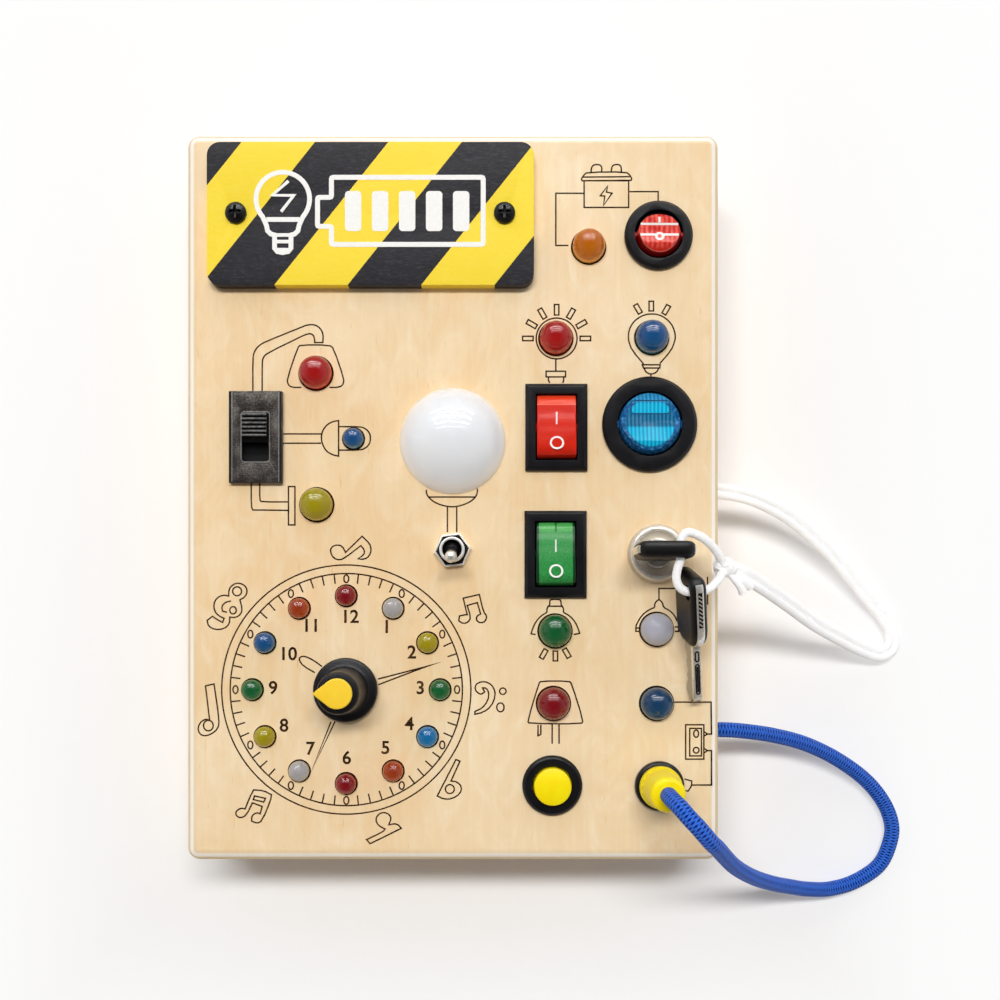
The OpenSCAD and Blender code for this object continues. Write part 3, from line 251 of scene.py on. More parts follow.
# ---- The blue plug cord ----
# A round braided lead, 4 mm thick: woven polyester over a soft core. One end is moulded into the
# yellow plug, and the other goes back through its hole in the right rail to the wires inside.
CORD_D = 4
CORD_ROUTE = [
    (51, -71.3, 54), (51, -71.3, 55.6), (51.3, -71.7, 58.3), (52.6, -73, 61.3),
    (54.5, -75.2, 63.1), (56.4, -77.2, 63.6), (58.2, -79.3, 63.1), (59.8, -81.1, 61.7),
    (61.6, -82.8, 58.5), (64.2, -85.7, 52.5), (67.8, -89.4, 44.5), (72, -92.8, 36.5),
    (77.1, -96.1, 28), (83, -99, 19.8), (88.7, -101.2, 13), (94.3, -102.9, 8),
    (101.4, -103.7, 4.2), (109, -102, 2.4), (115.8, -97.4, 2.1), (118.8, -90.6, 2.1),
    (118.9, -85.5, 2.1), (116.3, -79.6, 2.4), (111, -73.6, 3.4), (102.5, -67.8, 6.2),
    (93.5, -63.6, 9.4), (84.5, -61.1, 12.6), (76, -59.7, 15.4), (70, -59.2, 16.8),
    (61, -59.2, 17)]


def edit():
    """Goes into edit mode on the active piece, with its whole mesh selected."""
    bpy.ops.object.mode_set(mode="EDIT")
    bpy.ops.mesh.select_all(action="SELECT")


def faced_out(sharp=None):
    """Turns the active piece's faces outward, and smooths all edges under sharp degrees."""
    edit()
    bpy.ops.mesh.normals_make_consistent(inside=False)
    bpy.ops.object.mode_set(mode="OBJECT")
    if sharp:
        bpy.ops.object.shade_smooth_by_angle(angle=radians(sharp))


def finished(piece, material, body, slot, *nodes):
    """Gives a piece its finish and its body, and hides the solids it stands for; slot is not used.
    """
    piece.data.materials.clear()
    piece.data.materials.append(material)
    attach(piece, body)
    if nodes:
        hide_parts(*nodes)
    return piece


def smooth_route(points, cuts):
    """Runs a smooth line through the points of a route, with some cuts between each two."""
    points = [Vector(p) for p in points]
    ends = [2 * points[0] - points[1]] + points + [2 * points[-1] - points[-2]]
    line = []
    for a, b, c, d in zip(ends, ends[1:], ends[2:], ends[3:]):
        for k in range(cuts):
            t = k / cuts
            line.append(0.5 * (2 * b + (c - a) * t + (2 * a - 5 * b + 4 * c - d) * t ** 2
                               + (3 * b - a - 3 * c + d) * t ** 3))
    return line + [points[-1]]


def beside(line, side):
    """Gives the heading and the sideways direction at every point of a line, without twist."""
    frames = []
    for i in range(len(line)):
        ahead = (line[min(i + 1, len(line) - 1)] - line[max(i - 1, 0)]).normalized()
        side = (Vector(side) - Vector(side).dot(ahead) * ahead).normalized()
        frames.append((ahead, side))
    return frames


def sleeve(name, line, wide, high, side, around):
    """Makes a closed tube along a line in mm. Its UV map counts mm around it and along it."""
    verts, rows = [], []
    run = 0
    for i, (ahead, side) in enumerate(beside(line, side)):
        up = ahead.cross(side)
        run += (line[i] - line[i - 1]).length if i else 0
        rows.append(run)
        for k in range(around):
            a = 2 * pi * k / around
            verts.append((line[i] + wide * cos(a) * side + high * sin(a) * up) * MM)
    faces, spots = [], []
    reach = 2 * pi * (wide + high) / 2 / around
    for i in range(len(line) - 1):
        for k in range(around):
            n = (k + 1) % around
            faces.append((i * around + k, i * around + n, (i + 1) * around + n,
                          (i + 1) * around + k))
            spots += [(k * reach, rows[i]), ((k + 1) * reach, rows[i]),
                      ((k + 1) * reach, rows[i + 1]), (k * reach, rows[i + 1])]
    last = (len(line) - 1) * around
    faces += [tuple(range(around - 1, -1, -1)), tuple(range(last, last + around))]
    spots += [(0, 0)] * (2 * around)
    mesh = bpy.data.meshes.new(name)
    mesh.from_pydata(verts, [], faces)
    layer = mesh.uv_layers.new(name="along")
    for loop, spot in zip(layer.data, spots):
        loop.uv = spot
    piece = in_scene(name, mesh)
    faced_out(50)
    return piece


cord_line = smooth_route(CORD_ROUTE, 10)
blue_lead = sleeve("blue_lead", cord_line, CORD_D / 2, CORD_D / 2, (1, 0, 0), 24)

finish = Finish("braided blue polyester")
# two families of yarn crossing at a steep angle, with a painted highlight where a yarn rises and
# painted shade between them
along = finish.add("UVMap", uv_map="along")[0]
turned_left = finish.moved(along, turn=14)
turned_right = finish.moved(along, turn=-14)
over = finish.calc("MAXIMUM", finish.wave(turned_left, 0.4, 0.3, "Y"),
                   finish.wave(turned_right, 0.4, 0.3, "Y"))
fibre = finish.noise(6, 3, turned_left)
height = finish.calc("MULTIPLY_ADD", fibre, 0.35, over)
fleck = finish.noise(1.1, 1, turned_right)
shade = finish.ramp(height, (0.35, "06207a"), (0.75, "1046b4"), (1, "3474e6"))
pale = finish.ramp(fleck, (0.6, "000000"), (0.8, "8a8a8a"))
tint = finish.mix(pale, shade, "3f78e4")
bump = finish.bump(height, 0.9, 0.0004)
braid = finish.skin(tint, 0.46, bump, mirror=0.12, sheen=0.04, sheen_rough=0.4)
blue_lead.data.materials.append(braid)
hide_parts("blue_cord")
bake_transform(blue_lead)

# ---- The white key lanyard ----
# A loop of soft white cotton cord: two strands leave the rail side by side, end in a knot with two
# short tails, and a single loop from the knot passes through the bows of both keys.
STRAND_D = 2.2
WRAP_R, WRAP_L, WRAP_CUTS = 1.5, 2.2, 48
LANYARD_ROUTE = [
    (61, 3.5, 17), (70, 3.4, 16.8), (78.5, 1.8, 15), (87.4, -2, 12), (95, -7.2, 9),
    (103, -14.2, 6), (110.4, -22.4, 3.2), (116.6, -29.2, 1.7), (119.2, -33.6, 1.5),
    (119.2, -37.4, 1.7), (116.2, -39.6, 2.7), (111, -38.6, 5.4), (103, -35.4, 11.4),
    (93.6, -31.2, 19.2), (85.4, -26.7, 27.2), (77, -22.3, 35.8), (70.6, -19.4, 42.2),
    (67.8, -18.5, 44.5)]
LOOP_ROUTE = [
    (65.5, -17.8, 46), (63.9, -15.4, 48.1), (61.8, -13, 50.1), (59.4, -11.2, 51.8),
    (57.1, -10.2, 52.8), (55.3, -10, 53.2), (54.2, -11.2, 53.2), (53.9, -13.2, 53.2),
    (53.8, -16.2, 53.2), (53.1, -18.6, 53.2), (52.9, -20.8, 53.1), (53.7, -22.7, 52.8),
    (55.3, -23.7, 52.5), (57.4, -23.9, 52.1), (59.7, -23.6, 51.5), (61.7, -22.5, 50.3),
    (63.5, -20.8, 48.7), (64.8, -19.1, 47), (65.5, -18.2, 46.4)]
KNOT = Vector((65.5, -17.8, 46))

finish = Finish("soft white cotton cord")
# loosely spun strands: a slow twist, fuzzy fibres and faint grey painted shade in the grooves
along = finish.add("UVMap", uv_map="along")[0]
twisted = finish.moved(along, turn=24)
ply = finish.calc("MULTIPLY", finish.wave(twisted, 0.3, 2.5, "Y"), 0.35)
fuzz = finish.noise(5, 5, twisted, rough=0.7)
height = finish.calc("MULTIPLY_ADD", fuzz, 0.7, ply)
shade = finish.ramp(height, (0.1, "f1f1f1"), (0.5, "fcfcfc"), (1, "ffffff"))
bump = finish.bump(height, 0.5, 0.0002)
# a faint white glow is painted light that keeps the cord white on its shaded sides
cotton = finish.skin(shade, 0.85, bump, sheen=0.4, sheen_rough=0.6, milky=0.5, milky_rgb=(1, 1, 1),
                     milky_deep=0.0012, glow_colour=(1, 1, 1, 1), glow=0.12)

lanyard_line = smooth_route(LANYARD_ROUTE, 10)
for number, shift in enumerate((-STRAND_D / 2, STRAND_D / 2), 1):
    strand_line = [p + shift * side
                   for p, (ahead, side) in zip(lanyard_line, beside(lanyard_line, (0, 1, 0)))]
    strand = sleeve(f"lanyard_strand_{number}", strand_line, 1.08, 1.02, (0, 1, 0), 16)
    strand.data.materials.append(cotton)
    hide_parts("lanyard")
    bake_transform(strand)

loop_line = smooth_route(LOOP_ROUTE, 8)
key_loop = sleeve("key_loop", loop_line, 1.02, 1.02, (0, 0, 1), 16)
key_loop.data.materials.append(cotton)
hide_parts("lanyard_loop")
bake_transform(key_loop)

# the knot is one strand wound twice round the others; its tails are fraying ends
wraps = []
for i in range(WRAP_CUTS + 1):
    share = i / WRAP_CUTS
    angle = 2 * 2 * pi * share
    wraps.append(KNOT + Vector((WRAP_R * cos(angle) * 0.7 + WRAP_L * (share - 0.5),
                                WRAP_R * sin(angle), WRAP_R * cos(angle) - 0.2)))


def from_knot(cuts, *points):
    """Smooth line through points that are given from the knot's middle."""
    return smooth_route([KNOT + Vector(point) for point in points], cuts)


for name, line, wide, high, side in (
        ("knot_wrap", wraps, 1, 0.95, (1, 0, 0)),
        ("knot_core", from_knot(6, (-2.2, 0.8, 0.5), (-0.8, 0.3, 0.3), (0.9, -0.3, -0.4),
                                (2.6, -0.8, -1.4)), 1.3, 1.2, (0, 1, 0)),
        ("knot_tail_1", from_knot(8, (1.2, -0.6, 0), (3.2, -2.4, 0.5), (5.1, -3.6, 0),
                                  (6.3, -4.9, -0.9)), 0.95, 0.9, (0, 0, 1)),
        ("knot_tail_2", from_knot(8, (1.0, -1.2, 0.2), (2.4, -3.2, 0.9), (3.5, -4.7, 0.9),
                                  (4.2, -6.3, 0.3)), 0.95, 0.9, (0, 0, 1))):
    finished(sleeve(name, line, wide, high, side, 14), cotton, "lock_core", "white_cord")

# ---- The plywood box ----
# A shallow box of pale birch plywood: a front panel with its edges sanded round, four rails glued
# under it, and a screwed back. The faces are bare wood under one thin coat of matt varnish.
PANEL_T = 4
BACK_T = 3
PLY_T, GLUE_T = 0.9, 0.1


def plywood(name, long_way, sheets):
    """Mixes bare birch plywood. The grain runs along axis long_way (0 X, 1 Y, 2 Z); sheets lists
    the heights in mm between which a sheet shows its layers at its edge."""
    finish = Finish(name)
    stretch = [1, 1, 1]
    stretch[long_way] = 0.03
    fine_space = finish.moved(scale=[900 * s for s in stretch])
    pore_space = finish.moved(scale=[2400 * s ** 0.7 for s in stretch])
    fine = finish.noise(1, 5, fine_space, rough=0.6)
    pores = finish.noise(1, 2, pore_space)
    curl_space = finish.moved(scale=[130 * s ** 0.2 for s in stretch], turn=24)
    curl = finish.noise(1, 4, curl_space, rough=0.6, bent=1.6)
    wide = finish.noise(17, 1, bent=0.8)
    # warm cream veneer, mottled where the fibres turn and a little darker along each growth line
    cream = finish.ramp(curl, (0.3, "f0cd9b"), (0.5, "f4d8ad"), (0.72, "fbe8c8"))
    warm = finish.ramp(wide, (0.35, "efcf9f"), (0.65, "fae6c2"))
    veneer = finish.mix(0.45, cream, warm)
    lines = finish.ramp(fine, (0.3, "efdcc0"), (0.62, "ffffff"))
    veneer = finish.mix(0.16, veneer, lines, "MULTIPLY")
    dots = finish.ramp(pores, (0.22, "d8b384"), (0.3, "ffffff"))
    veneer = finish.mix(0.35, veneer, dots, "MULTIPLY")
    # paler where the edge is sanded through, with the thin brown glue lines of the plies
    height = finish.parts()[2]
    for low, high in sheets:
        scaled = finish.span(height, low * MM, high * MM)
        outer, glued = PLY_T / (high - low), (PLY_T + GLUE_T) / (high - low)
        layers = finish.ramp(scaled, (0, "fdf5e2"), (outer, "fdf5e2"), (outer + 0.01, "c9a272"),
                             (glued + 0.01, "ecd3a4"), (1 - glued, "ecd3a4"),
                             (1.02 - glued, "d3ae7e"), (1.02 - outer, "fff9ec"))
        below = finish.span(height, (high - 0.12) * MM, (high - 0.3) * MM)
        above = finish.span(height, (low + 0.05) * MM, (low + 0.1) * MM)
        inside = finish.calc("MULTIPLY", below, above)
        rough = finish.mix(0.15, layers, lines, "MULTIPLY")
        veneer = finish.mix(inside, veneer, rough)
    shine = finish.span(fine, 0, 1, 0.42, 0.6)
    grain = finish.calc("MULTIPLY_ADD", pores, 0.4, fine)
    bump = finish.bump(grain, 0.18, 0.00012)
    return finish.skin(veneer, shine, bump, mirror=0.3)


panel_wood = plywood("birch panel", 1, [(FACE - PANEL_T, FACE), (0, BACK_T)])
long_rail_wood = plywood("birch long rail", 1, [])
cross_rail_wood = plywood("birch cross rail", 0, [])


def rolled(piece, width, steps, sharp):
    """Rolls edges sharper than sharp degrees over by width mm, and smooths all others."""
    if width:
        roll = piece.modifiers.new("rolled edge", "BEVEL")
        roll.width = width * MM
        roll.segments = steps
        roll.limit_method = "ANGLE"
        roll.angle_limit = radians(sharp)
        bpy.ops.object.modifier_apply(modifier=roll.name)
    bpy.ops.object.shade_smooth_by_angle(angle=radians(sharp))


def softened(node, name, body, slot, material, width, steps=2, sharp=32):
    """Copies a solid, joins its loose triangles and rolls its sharp edges over by width mm."""
    piece = in_scene(name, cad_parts[node].data.copy())
    edit()
    bpy.ops.mesh.remove_doubles(threshold=2e-6)
    bpy.ops.mesh.dissolve_limited(angle_limit=radians(0.6))
    bpy.ops.object.mode_set(mode="OBJECT")
    rolled(piece, width, steps, sharp)
    return finished(piece, material, body, slot, node)


softened("front_panel", "front_sheet", "root", "plywood", panel_wood, 0)
softened("back_panel", "back_sheet", "root", "plywood", panel_wood, 0.25)
for side, wood in (("left", long_rail_wood), ("right", long_rail_wood), ("top", cross_rail_wood),
                   ("bottom", cross_rail_wood)):
    softened(side + "_rail", side + "_side", "root", "plywood", wood, 0.12)

# ---- The engraved drawings and the dial's numbers ----
# Lamps, a battery, a plug circuit, notes and a clock dial, burnt into the face by a laser as lines
# a third of a millimetre wide, and round every lamp hole a dark ring of scorch and painted gap
# shade.
LINE_W = 0.39
# Turns between these two, in degrees, are rounded.
STRAIGHT, CORNER = 4, 62
DIAL = (-26.3, -47.6)
DIAL_RINGS = (30.8, 28.7)
DOT_R = 27.4
TICK_L = 2.4
NUMBER_H = 4.5
SUN = (25.7, 39.2)
SUN_R, SUN_RAYS_R = 5.05, 7.1
RAY_W = 1.1
DRAWINGS = [
    # accumulator
    (True, [(32.5, 78.2), (43.5, 78.2), (43.5, 71.6), (32.5, 71.6)]),
    (True, [(32, 78.2), (31.8, 78.6), (32.4, 79.6), (33.3, 80.3), (42.8, 80.4), (43.8, 79.6),
        (44.3, 78.7), (44.1, 78.3)]),
    (False, [(32.2, 79.1), (43.9, 79.2)]),
    (False, [(34.2, 80.3), (34.3, 81.4), (34.7, 82), (35.3, 82.2), (36.1, 82.2), (36.7, 81.9),
        (36.9, 81.3), (36.8, 80.3)]),
    (False, [(39.2, 80.3), (39.3, 81.4), (39.6, 82), (40.3, 82.2), (41, 82.2), (41.5, 81.9),
        (41.7, 81.3), (41.7, 80.3)]),
    (True, [(38.3, 76.9), (36.5, 74.5), (37.6, 74.4), (37.3, 72.1), (39.4, 75.1), (38, 75.4)]),
    (False, [(32.5, 75.1), (25.5, 75.1), (25.5, 62.2), (28.6, 62.2)]),
    (False, [(43.5, 75.5), (50.8, 75.5), (50.8, 73.2)]),
    # bulb stems
    (False, [(25.5, 34.2), (25.5, 31.1)]),
    (True, [(23.1, 31.1), (27.9, 31.1), (27.9, 29.7), (23.1, 29.7)]),
    (False, [(24, 28.2), (23.6, 29), (23.7, 29.6)]),
    (False, [(27.2, 28.2), (27.5, 29), (27.4, 29.6)]),
    (False, [(47.2, 32.9), (44.4, 36.2), (43.6, 38.2), (43.4, 39.5), (43.6, 41.3), (44.4, 42.9),
        (45.7, 44.2), (47.5, 45.1), (49.2, 45.3), (51, 45.1), (52.7, 44.2), (54, 42.9),
        (54.8, 41.3), (55.1, 39.5), (54.8, 38.2), (54, 36.2), (51.2, 33)]),
    (True, [(46.9, 32.7), (51.3, 32.7), (51.2, 31.9), (47.2, 31.9)]),
    (False, [(47.4, 31.8), (47.7, 30.9), (49, 30.3), (50.4, 30.8), (50.9, 31.8)]),
    (False, [(49, 30.3), (49, 29.7)]),
    # lower bulbs
    (False, [(23.3, -28.5), (23.3, -27.4), (24, -26.8), (24, -25.6), (24.4, -25.3), (26.4, -25.3),
        (26.8, -25.7), (26.8, -26.8), (27.4, -27.4), (27.4, -28.5)]),
    (False, [(23.4, -27), (27.3, -27)]),
    (False, [(20.5, -34), (19.4, -33.8), (19.7, -32.7), (20.5, -30.9), (21.8, -29.4),
        (23.3, -28.5)]),
    (False, [(29.9, -34), (31.4, -33.7), (31.1, -32.7), (30.3, -30.9), (29, -29.4),
        (27.4, -28.5)]),
    (True, [(21.8, -45.5), (28.8, -45.5), (29.4, -46.1), (32.3, -55.3), (31.8, -56.1), (19, -56),
        (18.5, -55.4), (21.3, -46.1)]),
    (False, [(24.6, -56.2), (24.6, -61)]),
    (False, [(26.3, -56.2), (26.3, -61)]),
    (False, [(21.1, -56.3), (21.1, -59), (21.8, -58.7), (21.8, -56.3)]),
    (False, [(49.9, -27.3), (50, -26.1), (51, -25.3), (51.9, -26.1), (52.1, -27.3), (53.6, -28),
        (54.9, -29.3), (55.5, -30.7)]),
    (False, [(49.9, -27.3), (48.3, -28), (46.7, -29.3), (45.5, -31.4), (45.3, -32), (45.3, -33.2),
        (46.3, -33.2)]),
    (False, [(45.3, -32.4), (46.3, -32.4)]),
    (False, [(54.9, -32.1), (55.9, -32.1), (55.9, -33.2), (54.9, -33.2)]),
    (False, [(51, -25.3), (51, -22.6), (55, -22.6)]),
    (False, [(63, -19.7), (63, -26.4), (62.5, -26.4)]),
    # plug circuit
    (False, [(54.8, -50.7), (63.9, -50.7), (64, -58.6), (63, -58.6)]),
    (True, [(57.6, -56.3), (62.1, -56.3), (62.1, -64.8), (57.6, -64.8)]),
    (True, [(58.6, -57.2), (61.5, -57.2), (61.5, -64), (58.6, -64)]),
    (False, [(62.1, -58), (63, -58.6), (62.1, -59.1)]),
    (False, [(62.1, -62.1), (63, -62.7), (62.1, -63.3)]),
    (False, [(63, -62.7), (64, -62.7), (64, -71.2), (59.1, -71.2)]),
    (False, [(57.3, -69.7), (59.1, -70.2), (59.1, -71.4), (58.2, -72.7), (57.1, -72.5)]),
    # left lamps
    (False, [(-49.4, 26.2), (-49.4, 34.2), (-49.1, 35.9), (-48, 37.4), (-46.3, 38.4),
        (-37.6, 41.9), (-35.9, 42.6), (-34, 42.6), (-32.7, 41.7), (-32, 40.3), (-32.1, 38.2),
        (-34.1, 38.2), (-34.2, 39.5), (-34.7, 40.3), (-35.8, 40.4), (-37.6, 39.6), (-45.8, 35.6),
        (-46.9, 34.5), (-47.1, 33), (-47.1, 26.2)]),
    (False, [(-37.4, 27.1), (-39.8, 27.1), (-40.8, 27.9), (-40.9, 29.3), (-38.3, 37),
        (-37.6, 37.6), (-30.5, 37.6), (-29.4, 36.7), (-26.9, 29.3), (-27, 27.9), (-28, 27.1),
        (-30.5, 27.1)]),
    (False, [(-41.9, 15.6), (-32.5, 15.6)]),
    (False, [(-41.9, 13.3), (-32.5, 13.3)]),
    (True, [(-28.2, 18.9), (-29.9, 18.6), (-31.4, 17.6), (-32.3, 16.1), (-32.5, 14.5), (-32.2, 13),
        (-31.3, 11.4), (-29.9, 10.5), (-28.2, 10.1)]),
    (False, [(-28.1, 17.4), (-22.8, 17.4), (-21.5, 16.9), (-20.5, 15.8), (-20.3, 14.5),
        (-20.5, 13.2), (-21.5, 12.1), (-22.8, 11.6), (-28.1, 11.6)]),
    (False, [(-49.8, 3.5), (-49.8, -2.4), (-49.4, -3.2), (-40.6, -3.3)]),
    (False, [(-47.7, 3.5), (-47.7, -0.7), (-47.3, -1.2), (-40.6, -1.2)]),
    (True, [(-40.6, 2.6), (-39, 2.6), (-39, -6.9), (-40.6, -6.9)]),
    (False, [(-6.5, 1.8), (-6.5, 0.8), (-5.7, -0.4), (-4, -1.6), (-1.3, -2.4), (1, -2.4),
        (3.6, -1.6), (5.4, -0.4), (6.1, 0.9), (6.1, 2.1)]),
    (False, [(-5.9, 0), (5.7, 0)]),
    (False, [(-1.3, -2.5), (-1.3, -8.7)]),
    (False, [(1, -2.5), (1, -8.7)]),
    # clock hands
    (False, [(-32.3, -41.9), (-34.5, -40.3), (-36.4, -39.4), (-37.4, -39.4), (-37.9, -39.8),
        (-37.9, -40.5), (-36.9, -41.8), (-34.1, -43.4)]),
    (False, [(-18.5, -45), (-9.2, -42.6), (-3, -40.8), (-9.2, -42.9), (-18.4, -46.4)]),
    (False, [(-30.1, -55.6), (-35, -67.9), (-29.1, -55.5)]),
    # music
    (True, [(-30.3, -13.5), (-29.9, -12.3), (-28.7, -11.8), (-27.3, -12.1), (-26.5, -13.7),
        (-22.4, -9.7), (-20.5, -11.5), (-20.1, -13), (-20.6, -14.6), (-21.8, -15.4),
        (-23.4, -15.3), (-21.9, -14.2), (-21.8, -13.1), (-22.7, -12), (-26.7, -15.1), (-28, -15.6),
        (-29.5, -15.1)]),
    (True, [(2.6, -25), (6.6, -24.1), (7.6, -28.4), (8.5, -29.4), (8.1, -30.7), (7, -31.2),
        (5.9, -30.6), (5.9, -29.5), (6.9, -28.9), (6.1, -26.1), (3.6, -26.8), (4.5, -29.8),
        (3.8, -31), (2.5, -31.3), (1.5, -30.6), (1.7, -29.4), (3.1, -29.1), (3.6, -29.1)]),
    (True, [(6.3, -48.5), (5.5, -47.6), (5.7, -46.3), (7.1, -45.6), (8.8, -45.8), (10.2, -47.1),
        (10.6, -49.2), (9.5, -51.8), (7.6, -53.2), (5.5, -53.7), (5.5, -53), (7.3, -52.2),
        (8.7, -50.4), (9, -48.4), (8.3, -47.2), (7.4, -47.2), (7.9, -48.2), (7.1, -48.8)]),
    (True, [(0.8, -64.9), (1.8, -65.3), (-0.4, -70.2), (1.1, -70.4), (2.3, -71.7), (1.8, -73.4),
        (-0.1, -74.6), (-2.2, -74.7), (-3.8, -73.9)]),
    (True, [(-21.3, -84.7), (-17.3, -82.8), (-16.7, -82.1), (-18.4, -81.2), (-19.1, -79.8),
        (-18.4, -78.4), (-17, -77.9), (-15.6, -78.5), (-15.2, -79.6), (-15.8, -81), (-13.8, -80.7),
        (-12.7, -81.9), (-20.4, -85.7)]),
    (True, [(-49.2, -72.4), (-46.7, -72.6), (-44.8, -73.6), (-45, -75), (-47.1, -80),
        (-48.3, -80.7), (-49.7, -80.1), (-49.7, -78.8), (-48.5, -78), (-47.6, -78.3),
        (-47.1, -76.5), (-49.5, -75.6), (-51, -78.7), (-52.5, -79.4), (-53.6, -78.7),
        (-53.6, -77.7), (-52.4, -76.9), (-51.3, -77.1), (-50.2, -74.3)]),
    (True, [(-49, -73.9), (-46.3, -74.5), (-46.7, -75.4), (-49.3, -74.8)]),
    (True, [(-61.1, -46.7), (-59, -46.2), (-57.7, -55.1), (-58, -57.3), (-59.9, -58.8),
        (-61.9, -59.1), (-63, -57.9), (-62.7, -56), (-61.3, -54.9), (-60.1, -55.1)]),
    (True, [(-55.4, -24.5), (-55.3, -22.7), (-54.3, -21.6), (-52.9, -21.2), (-51.4, -21.8),
        (-50.7, -23.2), (-51.3, -24.7), (-52.6, -25.4), (-52, -27.7), (-52.4, -29), (-53.6, -29.8),
        (-55.1, -29.7), (-55.2, -31.4), (-56.5, -32.6), (-58.8, -32.8), (-60.4, -31.9),
        (-60.7, -30.5), (-59.4, -29.5), (-58.2, -30.3), (-56.9, -31), (-56.5, -30), (-58, -29.3),
        (-58.9, -28.1), (-59.1, -26.4), (-58.3, -24.9), (-56.7, -24.2)]),
    (False, [(-54.8, -25.7), (-56.2, -26), (-57.1, -27), (-56.9, -28.2), (-55.8, -28.5)]),
]
# sockets of the plug circuit and heads and dots of the notes: middle, half width and half height
SPOTS = [(60.2, -58.5, 0.6, 0.9), (60.2, -62.6, 0.7, 0.7), (12.4, -48, 0.8, 0.8),
         (11.8, -52, 0.9, 1.1), (-0.7, -72.2, 1.1, 1.1), (-60.4, -56.5, 1.2, 1.3),
         (-53.3, -23.3, 1.1, 1.1), (-54.3, -28, 0.8, 0.9)]
# rays round the bulbs on the right: middle and slope in degrees
BULB_RAYS = [(49.1, 47.2, 90), (45.8, 46.5, 120), (52.8, 46.3, 60),
             (25.4, -39.3, 90), (22.5, -38.8, 60), (28.2, -38.6, 120)]


def around_point(points, i):
    """A point of an outline, the one before it and the one after it."""
    return Vector(points[i]), Vector(points[i - 1]), Vector(points[(i + 1) % len(points)])


def eased(closed, points):
    """Rounds the shallow turns of a line and leaves its sharp corners."""
    line = []
    for i, point in enumerate(points):
        here, before, after = around_point(points, i)
        bend = (here - before).angle(after - here, 0)
        end = not closed and i in (0, len(points) - 1)
        if end or bend > radians(CORNER) or bend < radians(STRAIGHT):
            line.append(point)
        else:
            line += [tuple(here.lerp(before, 0.27)), tuple(here.lerp(after, 0.27))]
    return closed, line


def arc(x, y, r, start, end, cuts):
    """Points of an arc about (x, y), from one angle to another, in degrees."""
    return [(x + r * cos(radians(start + (end - start) * k / cuts)),
             y + r * sin(radians(start + (end - start) * k / cuts))) for k in range(cuts + 1)]


def oval(x, y, wide, high, cuts=28):
    return True, [(x + wide * cos(2 * pi * k / cuts), y + high * sin(2 * pi * k / cuts))
                  for k in range(cuts)]


def ray(x, y, degrees, long, wide):
    """Outline of a small bar about (x, y), its long side turned by some degrees."""
    along = Vector((cos(radians(degrees)), sin(radians(degrees))))
    across = Vector((-along.y, along.x))
    return True, [tuple(Vector((x, y)) + a * long / 2 * along + b * wide / 2 * across)
                  for a, b in ((-1, -1), (1, -1), (1, 1), (-1, 1))]


def at(x, y, z):
    """Move by x, y and z mm."""
    return Matrix.Translation((x * MM, y * MM, z * MM))


def turn(degrees, axis):
    return Matrix.Rotation(radians(degrees), 4, axis)


def strokes(name, paths, width, proud, level, material, body="root", slot="plywood"):
    """Draws flat ribbons of one width in mm that stand a few hundredths proud of a level face."""
    section = bpy.data.curves.new(name + "_section", "CURVE")
    corners = section.splines.new("POLY")
    corners.points.add(3)
    for corner, (x, y) in zip(corners.points, ((-1, -1), (1, -1), (0.9, 1), (-0.9, 1))):
        corner.co = (x * width / 2 * MM, y * proud * MM, 0, 1)
    corners.use_cyclic_u = True
    section = bpy.data.objects.new(name + "_section", section)
    drawing = bpy.data.curves.new(name, "CURVE")
    drawing.dimensions = "3D"
    drawing.twist_mode = "Z_UP"
    drawing.bevel_mode = "OBJECT"
    drawing.bevel_object = section
    drawing.use_fill_caps = True
    for closed, points in paths:
        spline = drawing.splines.new("POLY")
        spline.points.add(len(points) - 1)
        for i, (knot, (x, y)) in enumerate(zip(spline.points, points)):
            knot.co = (x * MM, y * MM, 0, 1)
            if closed or 0 < i < len(points) - 1:
                here, before, after = around_point(points, i)
                knot.radius = min(2, 1 / cos((here - before).angle(after - here, 0) / 2))
        spline.use_cyclic_u = closed
    in_scene(name, drawing)
    bpy.ops.object.convert(target="MESH")
    piece = bpy.context.object
    bpy.data.objects.remove(section)
    faced_out(20)
    piece.data.transform(at(0, 0, level))
    return finished(piece, material, body, slot)


finish = Finish("laser scorched wood")
# the burn is darkest where the beam slowed and lets the wood show through elsewhere
burn = finish.noise(420, 4)
brown = finish.ramp(burn, (0.3, "23150b"), (0.52, "3a2514"), (0.74, "624427"))
scorch = finish.skin(brown, 0.9, mirror=0.1)

lines = [eased(closed, points) for closed, points in DRAWINGS]
lines += [oval(*spot) for spot in SPOTS] + [oval(*SUN, SUN_R, SUN_R, 48)]
for degrees in range(0, 181, 30):
    lines.append(ray(SUN[0] + SUN_RAYS_R * cos(radians(degrees)),
                     SUN[1] + SUN_RAYS_R * sin(radians(degrees)), degrees, 2.6, RAY_W))
for x, y, degrees in BULB_RAYS:
    lines.append(ray(x, y, degrees, 2.4, RAY_W))
for r in DIAL_RINGS:
    lines.append(oval(*DIAL, r, r, 160))
for minute in range(60):
    a = radians(6 * minute)
    if minute % 5:
        lines.append((False, [(DIAL[0] + r * sin(a), DIAL[1] + r * cos(a))
                              for r in (DIAL_RINGS[1], DIAL_RINGS[1] - TICK_L)]))
    else:
        lines.append(oval(DIAL[0] + DOT_R * sin(a), DIAL[1] + DOT_R * cos(a), 0.62, 0.95, 20))
strokes("engraved_lines", lines, LINE_W, 0.03, FACE, scorch)

